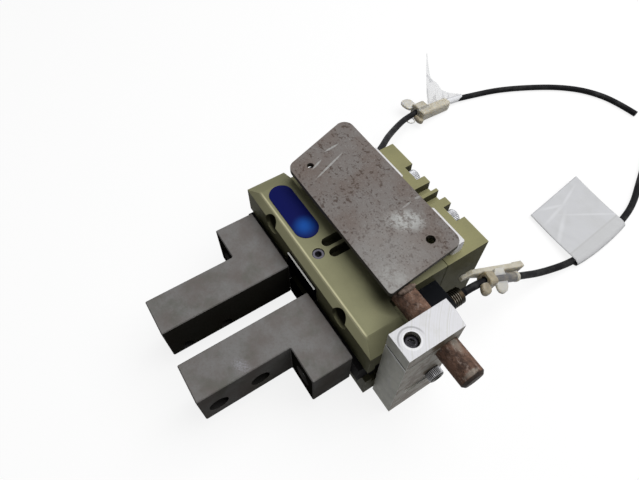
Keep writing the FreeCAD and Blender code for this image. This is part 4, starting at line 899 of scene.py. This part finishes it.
def make_piece(name, grids, looks, node, body=HOUSE, closed=True, sharp=35):
    """A mesh from grids of points, in place of a node; looks names the finish of each grid."""
    starts = np.cumsum([0] + [grid.shape[0] * grid.shape[1] for grid in grids])
    faces = [strip_faces(*grid.shape[:2], closed, start) for grid, start in zip(grids, starts)]
    mesh = bpy.data.meshes.new(name)
    mesh.from_pydata(np.concatenate([grid.reshape(-1, 3) for grid in grids]).tolist(), [],
                     np.concatenate(faces).tolist())
    used = list(dict.fromkeys(looks))
    marks = np.concatenate([np.full(len(part), used.index(look)) for part, look in zip(faces, looks)])
    mesh.polygons.foreach_set("material_index", marks.astype(np.int32))
    shape = bmesh.new()
    shape.from_mesh(mesh)
    if closed:
        bmesh.ops.remove_doubles(shape, verts=shape.verts, dist=1e-6)
        bmesh.ops.dissolve_degenerate(shape, dist=1e-7, edges=shape.edges)
    bmesh.ops.recalc_face_normals(shape, faces=shape.faces)
    shape.to_mesh(mesh)
    shape.free()
    mesh.polygons.foreach_set("use_smooth", np.ones(len(mesh.polygons), dtype=bool))
    mesh.set_sharp_from_angle(angle=math.radians(sharp))
    for look in used:
        mesh.materials.append(FINISHES[look])
    piece = add_object(name, mesh)
    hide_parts(node)
    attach(piece, body)
    return piece


def points(x, y, z):
    """Points from three coordinates, each a number or an array, spread to one common shape."""
    return np.stack(np.broadcast_arrays(x, y, z), axis=-1)


def ring_angles(steps, shift=0.0):
    """Angles round a full turn, shifted by a share of one step."""
    return (np.arange(steps) + shift) * TURN / steps


def straight(start, run, share):
    """The three coordinates of a straight line, at shares of its run."""
    return [first + change * share for first, change in zip(start, run)]


def turned_grid(profile, steps):
    """A profile of (axis place, radius) pairs turned about the X axis; a radius may vary with the angle."""
    angle = ring_angles(steps)
    places, radii = zip(*profile)
    radius = np.array([np.broadcast_to(part, steps) for part in radii])
    return points(np.array(places)[:, None], radius * np.cos(angle), radius * np.sin(angle))


def moved(grid, matrix):
    """A grid carried by a placement."""
    place = np.array(matrix)
    return grid @ place[:3, :3].T + place[:3, 3]


def pointing(origin, direction):
    """The placement that puts the X axis along a direction at an origin."""
    return Matrix.Translation(origin) @ Vector(direction).to_track_quat("X", "Z").to_matrix().to_4x4()


def from_front(low, high):
    """The placement along Y from the middle of the front of a box."""
    return pointing(((low.x + high.x) / 2, low.y, (low.z + high.z) / 2), (0, 1, 0))


def hexagon_radius(flat, steps):
    """Distance from the middle to a hexagon's outline, with its first corner at angle 0."""
    lean = (ring_angles(steps) % (TURN / 6)) - TURN / 12
    return flat / np.cos(lean)


def outline_box(width, depth, corner, steps):
    """A rectangle with round corners: each angle's point of a small circle, set out to the nearest corner."""
    angle = ring_angles(steps, 0.5)
    x = np.sign(np.cos(angle)) * (width / 2 - corner) + corner * np.cos(angle)
    y = np.sign(np.sin(angle)) * (depth / 2 - corner) + corner * np.sin(angle)
    return x, y


# Screws by node: slot, finish, thread radius, head radius and height, heading, body, corners of its box
MIDDLE = [(0, 0)]
CORNERS = [(1, 1), (1, -1), (-1, 1), (-1, -1)]
SCREWS = {
    "cover_screws": ("bright_steel", "bright_steel", 2, 3.5, 4, (0, -1, 0), HOUSE, CORNERS),
    "block_screw": ("bright_steel", "knurled_steel", 2, 3.5, 4, (-1, 0, 0), HOUSE, MIDDLE),
    "clamp_screw": ("black_screw_steel", "black_screw_steel", 1.5, 2.75, 3, (0, 0, -1), HOUSE, MIDDLE),
    "finger_screw_right": (
        "black_screw_steel", "black_screw_steel", 2.5, 4.25, 5, (0, 1, 0), "jaw_right", MIDDLE),
    "finger_screw_left": (
        "black_screw_steel", "black_screw_steel", 2.5, 4.25, 5, (0, 1, 0), "jaw_left", MIDDLE),
}


def cap_screw_grid(sizes, shank, head, height, reach):
    """A socket-head screw along X: hexagon socket, knurled side with broken edges, plain shank."""
    steps = sizes.knurls * 6
    teeth = np.cos(ring_angles(steps) * sizes.knurls)
    knurl = head - sizes.knurl_depth * (0.5 + 0.5 * teeth)
    flat = 0.8 * shank
    socket = hexagon_radius(flat, steps)
    rim = flat / math.cos(TURN / 12) * 1.08
    edge = 0.12 * head
    return turned_grid([
        (-0.42 * height, 0), (-0.5 * height, socket), (edge * 0.5 - height, socket), (-height, rim),
        (-height, head - 2.2 * edge), (edge * 0.35 - height, head - edge),
        (edge * 1.2 - height, head - 0.3 * edge), (edge * 1.9 - height, knurl), (-edge * 1.4, knurl),
        (-edge * 0.8, head - 0.5 * edge), (0, head - edge), (0, shank), (reach - 0.4 * shank, shank),
        (reach, 0.7 * shank), (reach, 0),
    ], steps)


class GRIPPER_OT_screws(bpy.types.Operator):
    """Make the knurled socket-head screws"""
    bl_idname = "gripper.screws"
    bl_label = "Screws"

    def execute(self, context):
        for node, row in SCREWS.items():
            self.group(context.scene.gripper.sizes, node, *row)
        return {"FINISHED"}

    def group(self, sizes, node, slot, look, shank, head, height, heading, body, corners):
        """All screws of one node: each sits where the node's box says, pointing along its heading."""
        low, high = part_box(node)
        shank, head, height = shank * MM, head * MM, height * MM
        middle = (low + high) / 2
        span = abs((high - low).dot(Vector(heading)))
        seat = middle - Vector(heading) * (span / 2 - height)
        half_x = high.x - head - middle.x
        half_z = high.z - head - middle.z
        grid = cap_screw_grid(sizes, shank, head, height, span - height)
        grids = [
            moved(grid, pointing(seat + Vector((half_x * x, 0, half_z * z)), heading)) for x, z in corners]
        make_piece(node + "_detail", grids, [look] * len(grids), node, body)


# Sensors
def barrel_grids(sizes, length, radius):
    """A threaded barrel along X: plain nose, thread, plain tail and a thin dark neck.

    The thread's radius falls and rises as a triangle wave of the place along the axis less the share of a
    turn, so it winds as a helix."""
    steps = 48
    per_pitch = 10
    lip = 0.4 * MM
    start = sizes.sensor_nose
    end_face = length - sizes.sensor_neck
    end = end_face - sizes.sensor_tail
    neck = sizes.cable_radius * 1.05
    waist = sizes.sensor_waist
    root = radius - sizes.thread_depth
    places = np.arange(start, end, sizes.thread_pitch / per_pitch)
    phase = (places[:, None] / sizes.thread_pitch - ring_angles(steps) / TURN) % 1
    groove = np.abs(2 * phase - 1) * sizes.thread_depth
    nose = [(0, 0), (0, waist - lip), (lip, waist), (start, waist)]
    thread = [
        (start, waist), (start, root), *zip(places, radius - groove), (end, root), (end, waist),
        (end_face - lip, waist), (end_face, waist - lip), (end_face, waist - 2 * lip)]
    back = [(end_face, waist - 2 * lip), (end_face, neck), (length, neck), (length, 0)]
    return [turned_grid(part, steps) for part in (thread, nose, back)]


def nut_grid(width, flat, bore):
    """A thin hexagon nut along X: each row is the hexagon cut back by a 30 degree cone at both faces."""
    steps = 72
    depths = np.array([0, 0.12, 0.25, 0.4, 0.6]) * MM
    slope = math.tan(TURN / 6)
    outline = hexagon_radius(flat, steps)
    face = 0.97 * flat
    cut = [np.minimum(outline, face + depth * slope) for depth in depths]
    return turned_grid([
        (0, bore), *zip(depths, cut), *zip(width - depths[::-1], cut[::-1]), (width, bore), (0, bore)], steps)


class GRIPPER_OT_sensors(bpy.types.Operator):
    """Make the threaded sensor barrels and their lock nuts"""
    bl_idname = "gripper.sensors"
    bl_label = "Sensors"

    def execute(self, context):
        sizes = context.scene.gripper.sizes
        for side in SIDES:
            low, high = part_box("sensor_" + side)
            radius = (high.x - low.x) / 2
            place = from_front(low, high)
            grids = [moved(grid, place) for grid in barrel_grids(sizes, high.y - low.y, radius)]
            looks = ["sensor_metal", "black_plastic", "black_plastic"]
            make_piece("sensor_barrel_" + side, grids, looks, "sensor_" + side)
            low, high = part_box("sensor_nut_" + side)
            grid = nut_grid(high.y - low.y, (high.z - low.z) / 2, radius * 1.01)
            make_piece("lock_nut_" + side, [moved(grid, from_front(low, high))], ["nut_steel"],
                       "sensor_nut_" + side)
        return {"FINISHED"}


# Clips, all sizes in millimetres
def clip_matrix(seat, heading, tilt):
    """The placement of a clip: at its seat, turned to its heading and tilted down."""
    turn = Matrix.Rotation(math.radians(heading), 4, "Z") @ Matrix.Rotation(math.radians(tilt), 4, "Y")
    return Matrix.Translation(Vector(seat) * MM) @ turn


def bar_grid(stations, steps=40):
    """A bar along X with shut ends: a rounded rectangle at each (x, y, z, width, height, corner)."""
    shut = (0.02, 0.02, 0.01)
    rows = []
    for x, y, z, *box in [(*stations[0][:3], *shut), *stations, (*stations[-1][:3], *shut)]:
        across, upward = outline_box(*box, steps)
        rows.append(points(x, y + across, z + upward))
    return np.array(rows)


def sleeve_grid(start, end, inner, outer, steps=40):
    """A round sleeve along X with broken edges."""
    edge = 0.4
    return turned_grid([
        (start, inner), (start, outer - edge), (start + edge, outer), (end - edge, outer),
        (end, outer - edge), (end, inner), (start, inner)], steps)


def lug_grid(x, width, thickness, root, reach, z=0.0, droop=0.0, steps=40):
    """A rounded paddle along Y: a flat oval outline from its root to its reach, where it has drooped."""
    shares = [0, 0.3, 0.6, 0.8, 0.92, 0.98, 1.0]
    swell = [0.7, 0.95, 1.0, 0.9, 0.68, 0.35, 0.01]
    rows = [np.broadcast_to((x, root, z), (steps, 3))]
    for share, size in zip(shares, swell):
        deep = thickness * (0.5 + 0.5 * size)
        across, upward = outline_box(width * size, deep, min(deep, width * size) * 0.45, steps)
        rows.append(points(x + across, root + (reach - root) * share, z + droop * share + upward))
    return np.array(rows)


def eye_grid(start, end, width, height, corner, bore, steps=48):
    """A block along X with a round hole: its rows run from the hole out to a rounded rectangle and back."""
    edge = 0.4
    angle = ring_angles(steps, 0.5)
    hole = (bore * np.cos(angle), bore * np.sin(angle))
    full = outline_box(width, height, corner, steps)
    inset = outline_box(width - 2 * edge, height - 2 * edge, corner - edge, steps)
    rows = (
        (start, hole), (start, inset), (start + edge, full), (end - edge, full), (end, inset), (end, hole),
        (start, hole))
    return np.array([points(x, *outline) for x, outline in rows])


def loop_grid(x, y, radius, wire, steps=40):
    """A thin flat loop of round wire about a point of the clip."""
    angle = np.linspace(0, TURN, 49)[:, None]
    across = ring_angles(steps)
    away = radius + wire * np.cos(across)
    return points(x + away * np.cos(angle), y + away * np.sin(angle), wire * np.sin(across))


class GRIPPER_OT_clips(bpy.types.Operator):
    """Make the nylon clips on the cables"""
    bl_idname = "gripper.clips"
    bl_label = "Cable clips"

    def execute(self, context):
        self.clip("right", clip_matrix((42.6, 4.1, 1.5), 81, 28), 1, [
            ("nylon", bar_grid([
                (-18, 4.6, -3.9, 1.6, 1.8, 0.5), (-17.6, 4.6, -3.7, 2.0, 2.2, 0.6),
                (-14.5, 4.6, -0.9, 2.4, 3.8, 0.7), (-5.5, 4.6, -1.0, 2.8, 4.8, 0.7),
                (13.4, 4.4, 0.6, 2.8, 5.0, 0.7), (13.8, 4.5, 0.6, 3.2, 5.4, 0.7),
                (19.4, 4.5, 1.3, 3.2, 5.2, 0.7), (20, 4.5, 1.3, 2.4, 4.4, 0.6)])),
            ("nylon_tan", eye_grid(-9.8, -4.6, 6.6, 6.6, 1.8, 1.8)),
            ("nylon_grey", sleeve_grid(-4.7, 12.4, 1.8, 2.3)),
            ("nylon", sleeve_grid(12.4, 14.4, 1.8, 2.5)),
            ("nylon_tan", lug_grid(-11.4, 6.0, 3.2, -1.9, -6.4, 0.0, -1.5)),
            ("nylon_pale", lug_grid(0.6, 8.6, 1.8, 3.4, -6.5, 2.9, -5.0)),
        ])
        self.clip("left", clip_matrix((-74.5, 57.6, -17.3), 93, 7), -1, [
            ("nylon", bar_grid([
                (-3.4, 3.9, 1.0, 4.6, 5.6, 0.9), (-2.8, 3.9, 1.0, 6.0, 6.6, 1.2),
                (18.6, 3.9, 1.0, 6.0, 6.6, 1.4), (19.9, 3.9, 1.0, 5.2, 5.8, 1.6),
                (20.6, 3.9, 1.0, 3.4, 4.0, 1.6)])),
            ("nylon", eye_grid(-2.6, 5.2, 8.4, 8.4, 2.2, 1.8)),
            ("nylon_pale", lug_grid(-2.4, 8.4, 2.0, -3.0, -11.6, 1.0)),
            ("nylon_tan", lug_grid(-4.2, 4.2, 3.4, 2.0, 8.2, -1.0)),
            ("nylon_pale", loop_grid(-10.4, 4.0, 2.5, 0.35)),
        ])
        return {"FINISHED"}

    def clip(self, side, matrix, hand, parts):
        """Puts the parts of a clip on its cable; hand is -1 for the mirrored one."""
        mirror = np.array([1, hand, 1]) * MM
        grids = [moved(grid * mirror, matrix) for look, grid in parts]
        make_piece("nylon_clip_" + side, grids, [look for look, grid in parts], "cable_clip_" + side)


# Flags and cables
def cable_line(route):
    """Points along a cable, in millimetres: on each run of three route points, with t from 0 to 1, the first
    counts half the square of 1 - t, the second a half plus t less t squared, the third half of t squared."""
    places = np.array(route)
    t = np.linspace(0, 1, 16)[:, None, None]
    runs = 0.5 * (1 - t) ** 2 * places[:-2] + (0.5 + t - t ** 2) * places[1:-1] + 0.5 * t ** 2 * places[2:]
    return runs.transpose(1, 0, 2).reshape(-1, 3)


class GRIPPER_OT_flags(bpy.types.Operator):
    """Make the blank paper flags on the cables"""
    bl_idname = "gripper.flags"
    bl_label = "Paper flags"

    def execute(self, context):
        thickness = context.scene.gripper.sizes.paper
        self.sheet("right", self.lying() * MM, "label_paper", thickness)
        self.sheet("left", self.standing() * MM, "thin_paper", thickness)
        return {"FINISHED"}

    def sheet(self, side, grid, look, thickness):
        """Gives a sheet its thickness and puts it in its node's place."""
        piece = make_piece("paper_flag_" + side, [grid], [look], "flag_label_" + side, closed=False)
        wall = piece.modifiers.new("paper", "SOLIDIFY")
        wall.thickness = thickness
        wall.offset = 0

    def lying(self):
        """A sheet that lies on the floor and wraps its cable, in millimetres.

        Across, it runs almost straight from the free edge to the top of the cable, with a slight sag, and
        then round a flat ellipse; the free edge lifts towards its far corner."""
        along = np.linspace(0, 1, 37)[:, None]
        around = np.linspace(0, 1, 73)[None, :]
        turn_share = 0.28
        flat = np.clip(around / (1 - turn_share), 0, 1)
        wrapped = np.clip((around - 1 + turn_share) / turn_share, 0, 1)
        angle = math.radians(90) - wrapped * math.radians(200)
        sheet_length = 40.3
        over_cable = 1.95
        wrap_width = 3.1
        wrap_height = 1.85
        edge_dip = 0.6
        bow = 4 * along * (1 - along)
        line = cable_line(ROUTES["right"])
        cable_y = PAPER_START_Y + sheet_length * along
        cable_x = np.interp(cable_y, line[:, 1], line[:, 0])
        cable_top = np.interp(cable_y, line[:, 1], line[:, 2]) + over_cable
        free_x, free_y, free_z = straight(FREE_EDGE_START, FREE_EDGE_RUN, along)
        run = np.hypot(cable_x - free_x, cable_y - free_y)
        side_x = (cable_x - free_x) / run
        side_y = (cable_y - free_y) / run
        across = run * (flat - 1) + wrap_width * np.cos(angle)
        edge = free_z - edge_dip * bow
        sag = 0.5 * np.sin(flat * math.pi)
        height = edge * (1 - flat) + cable_top * flat - sag + wrap_height * (np.sin(angle) - 1)
        return points(cable_x + side_x * across, cable_y + side_y * across, height)

    def standing(self):
        """A sheet wrapped round its cable that stands up in a leaning fin, in millimetres.

        Along the cable the fin's height falls from a tall spike in a hollow curve; across, an arc on the
        cable is followed by a straight rise with a slight belly."""
        share = np.concatenate([np.linspace(0, 0.12, 13), np.linspace(0.14, 1, 36)])[:, None]
        upward = np.linspace(0, 1, 49)[None, :]
        tall = np.interp(share, FIN_SHARES, FIN_HEIGHTS)
        wrap = 0.3
        wrap_radius = 2.05
        lean = 0.305
        angle = math.radians(-40) + np.clip(upward / wrap, 0, 1) * math.radians(130)
        rise = np.clip((upward - wrap) / (1 - wrap), 0, 1)
        belly = np.sin(rise * math.pi) * (1 - share)
        foot_x, foot_y, foot_z = straight(FIN_START, FIN_RUN, share)
        x = foot_x + wrap_radius * np.cos(angle) - lean * tall * rise + 0.8 * belly
        y = foot_y - 1.2 * belly
        z = foot_z + wrap_radius * np.sin(angle) + tall * rise
        return points(x, y, z)


class GRIPPER_OT_cables(bpy.types.Operator):
    """Lay the two sensor cables"""
    bl_idname = "gripper.cables"
    bl_label = "Cables"

    def execute(self, context):
        for side in SIDES:
            self.cable(side, ROUTES[side], context.scene.gripper.sizes.cable_radius)
        return {"FINISHED"}

    def cable(self, side, route, radius):
        """A round cable on a smooth spline whose control points are the route."""
        curve = bpy.data.curves.new("sensor_cable_" + side, "CURVE")
        curve.dimensions = "3D"
        curve.bevel_depth = radius
        curve.bevel_resolution = 6
        curve.resolution_u = 12
        curve.use_fill_caps = True
        spline = curve.splines.new("NURBS")
        spline.points.add(len(route) - 1)
        places = np.column_stack([np.array(route) * MM, np.ones(len(route))])
        spline.points.foreach_set("co", places.ravel())
        spline.order_u = 3
        spline.use_endpoint_u = True
        curve.materials.append(FINISHES["cable_sheath"])
        piece = add_object("sensor_cable_" + side, curve)
        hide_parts("cable_" + side)
        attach(piece, HOUSE)


# Pads, badge and weld
class GRIPPER_OT_pads(bpy.types.Operator):
    """Make the foam pads under the plate"""
    bl_idname = "gripper.pads"
    bl_label = "Foam pads"

    def execute(self, context):
        sizes = context.scene.gripper.sizes
        low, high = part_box("foam_pads")
        low.y += sizes.pad_room
        inner_left, inner_right = (edge * MM for edge in FOAM_INNER_EDGES)
        spans = ((low.x, inner_left), (inner_right, high.x))
        grids = [self.pad(sizes, left, right, low, high) for left, right in spans]
        piece = make_piece("foam_pad_pair", grids, ["white_foam"] * 2, "foam_pads", sharp=50)
        return {"FINISHED"}

    def pad(self, sizes, left, right, low, high):
        """A block of foam: a round-cornered outline at each height, swelling as a parabola between faces."""
        steps = 96
        levels = 9
        share = np.concatenate([[0, 0], np.linspace(0, 1, levels), [1, 1]])
        inset = np.concatenate([[1, 0.03], np.zeros(levels), [0.03, 1]])
        rows = []
        for height, shrink in zip(share, inset):
            swell = sizes.pad_bulge * (4 * height * (1 - height) - 1)
            width = (right - left + 2 * swell) * (1 - shrink)
            depth = (high.y - low.y + 2 * swell) * (1 - shrink)
            corner = min(sizes.pad_corner, 0.49 * width, 0.49 * depth)
            x, y = outline_box(width, depth, corner, steps)
            rows.append(points((left + right) / 2 + x, (low.y + high.y) / 2 + y,
                               low.z + (high.z - low.z) * height))
        return np.array(rows)


class GRIPPER_OT_badge(bpy.types.Operator):
    """Make the bare domed badge"""
    bl_idname = "gripper.badge"
    bl_label = "Badge"

    def execute(self, context):
        """A dome over an oval: each row is the oval drawn in to its middle line, rising as a parabola."""
        sizes = context.scene.gripper.sizes
        low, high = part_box("badge")
        radius = (high.y - low.y) / 2
        reach = (high.x - low.x) / 2 - radius
        middle = (low + high) / 2
        steps = 96
        levels = 12
        angle = ring_angles(steps, 0.5)
        share = np.concatenate([[0, 1, 1], np.cos(np.linspace(0, math.pi / 2, levels))])[:, None]
        rise = sizes.badge_rim + sizes.badge_dome * (1 - share ** 2)
        rise[:3, 0] = (0, 0, sizes.badge_rim)
        x = middle.x + np.sign(np.cos(angle)) * reach + radius * share * np.cos(angle)
        y = middle.y + radius * share * np.sin(angle)
        make_piece("badge_dome", [points(x, y, low.z + rise)], ["badge_enamel"], "badge", sharp=50)
        return {"FINISHED"}


class GRIPPER_OT_weld(bpy.types.Operator):
    """Make the weld between the rod and the plate"""
    bl_idname = "gripper.weld"
    bl_label = "Weld"

    def execute(self, context):
        """A bead along Y whose radius ripples as a sine and closes at both ends."""
        sizes = context.scene.gripper.sizes
        low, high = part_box("weld_bead")
        steps = 32
        levels = 61
        ripples = 5
        tip = 0.01 * MM
        share = np.linspace(0, 1, levels)[:, None]
        ripple = 1 + 0.05 * np.sin(share * TURN * ripples)
        radius = sizes.weld_radius * np.sin(share * math.pi) ** 0.35 * ripple
        radius[[0, -1]] = tip
        angle = ring_angles(steps)
        x = (low.x + high.x) / 2 + radius * np.cos(angle)
        y = low.y + (high.y - low.y) * share
        z = (low.z + high.z) / 2 + sizes.weld_lift + radius * np.sin(angle)
        make_piece("weld_run", [points(x, y, z)], ["weld_steel"], "weld_bead")
        return {"FINISHED"}


# Stage
class GRIPPER_OT_stage(bpy.types.Operator):
    """Set up the camera, the lights and the floor"""
    bl_idname = "gripper.stage"
    bl_label = "Stage"

    def execute(self, context):
        scene = context.scene
        stage = scene.gripper.stage
        self.camera(scene, stage)
        self.floor(stage)
        self.world(scene, stage)
        self.light("key", stage.key_power, stage.key_place, stage.key_size)
        self.light("fill", stage.fill_power, stage.fill_place, stage.fill_size)
        scene.view_settings.view_transform = "Standard"
        return {"FINISHED"}

    def camera(self, scene, stage):
        lens = bpy.data.cameras.new("camera")
        lens.sensor_width = 36
        lens.lens = stage.lens
        lens.clip_start = 0.01
        scene.camera = add_object("camera", lens)
        place = Vector(stage.camera_place)
        sight = (Vector(stage.camera_aim) - place).to_track_quat("-Z", "Y").to_matrix().to_4x4()
        roll = Matrix.Rotation(stage.camera_roll, 4, "Z")
        scene.camera.matrix_world = Matrix.Translation(place) @ sight @ roll

    def floor(self, stage):
        mesh = bpy.data.meshes.new("floor")
        corners = ((-1, -1), (1, -1), (1, 1), (-1, 1))
        places = [(x * FLOOR_HALF, y * FLOOR_HALF, FLOOR_HEIGHT) for x, y in corners]
        mesh.from_pydata(places, [], [(0, 1, 2, 3)])
        material = bpy.data.materials.new("floor")
        nodes = Nodes(material)
        diffuse = nodes.node("ShaderNodeBsdfDiffuse", {"Color": stage.floor_colour})
        glow = nodes.node("ShaderNodeEmission", {"Strength": nodes.backdrop_rays() * stage.floor_glow})
        nodes.close("ShaderNodeOutputMaterial", nodes.node("ShaderNodeAddShader", {0: diffuse, 1: glow}))
        mesh.materials.append(material)
        add_object("floor", mesh)

    def world(self, scene, stage):
        scene.world = bpy.data.worlds.new("studio")
        nodes = Nodes(scene.world)
        level = nodes.node("ShaderNodeMapRange", {
            "Value": nodes.backdrop_rays(), "To Min": stage.world_strength, "To Max": 1.0})
        sky = nodes.node("ShaderNodeBackground", {"Color": (1, 1, 1), "Strength": level})
        nodes.close("ShaderNodeOutputWorld", sky)

    def light(self, name, power, place, size):
        lamp = bpy.data.lights.new(name, "AREA")
        lamp.energy = power
        lamp.size = size
        light = add_object(name, lamp)
        light.location = place
        light.rotation_euler = (-Vector(place)).to_track_quat("-Z", "Y").to_euler()


class GRIPPER_PT_panel(bpy.types.Panel):
    """Buttons for every group of pieces"""
    bl_idname = "GRIPPER_PT_panel"
    bl_label = "Parallel gripper"
    bl_space_type = "VIEW_3D"
    bl_region_type = "UI"
    bl_category = "Gripper"

    def draw(self, context):
        for operator in OPERATORS:
            self.layout.operator(operator.bl_idname)
        settings = context.scene.gripper
        for group in (settings.sizes, settings.colours, settings.stage):
            box = self.layout.box()
            for name in type(group).__annotations__:
                box.prop(group, name)


OPERATORS = (
    GRIPPER_OT_stage, GRIPPER_OT_finishes, GRIPPER_OT_screws, GRIPPER_OT_sensors, GRIPPER_OT_clips,
    GRIPPER_OT_flags, GRIPPER_OT_cables, GRIPPER_OT_pads, GRIPPER_OT_badge, GRIPPER_OT_weld,
)
CLASSES = (GripperSizes, GripperColours, StageSettings, GripperSettings, *OPERATORS, GRIPPER_PT_panel)


def register():
    for kind in CLASSES:
        bpy.utils.register_class(kind)
    bpy.types.Scene.gripper = bpy.props.PointerProperty(type=GripperSettings)


def unregister():
    del bpy.types.Scene.gripper
    for kind in reversed(CLASSES):
        bpy.utils.unregister_class(kind)


def main():
    register()
    bpy.ops.gripper.stage()
    bpy.ops.gripper.finishes()
    bpy.ops.gripper.screws()
    bpy.ops.gripper.sensors()
    bpy.ops.gripper.clips()
    bpy.ops.gripper.flags()
    bpy.ops.gripper.cables()
    bpy.ops.gripper.pads()
    bpy.ops.gripper.badge()
    bpy.ops.gripper.weld()


if __name__ == "__main__":
    main()
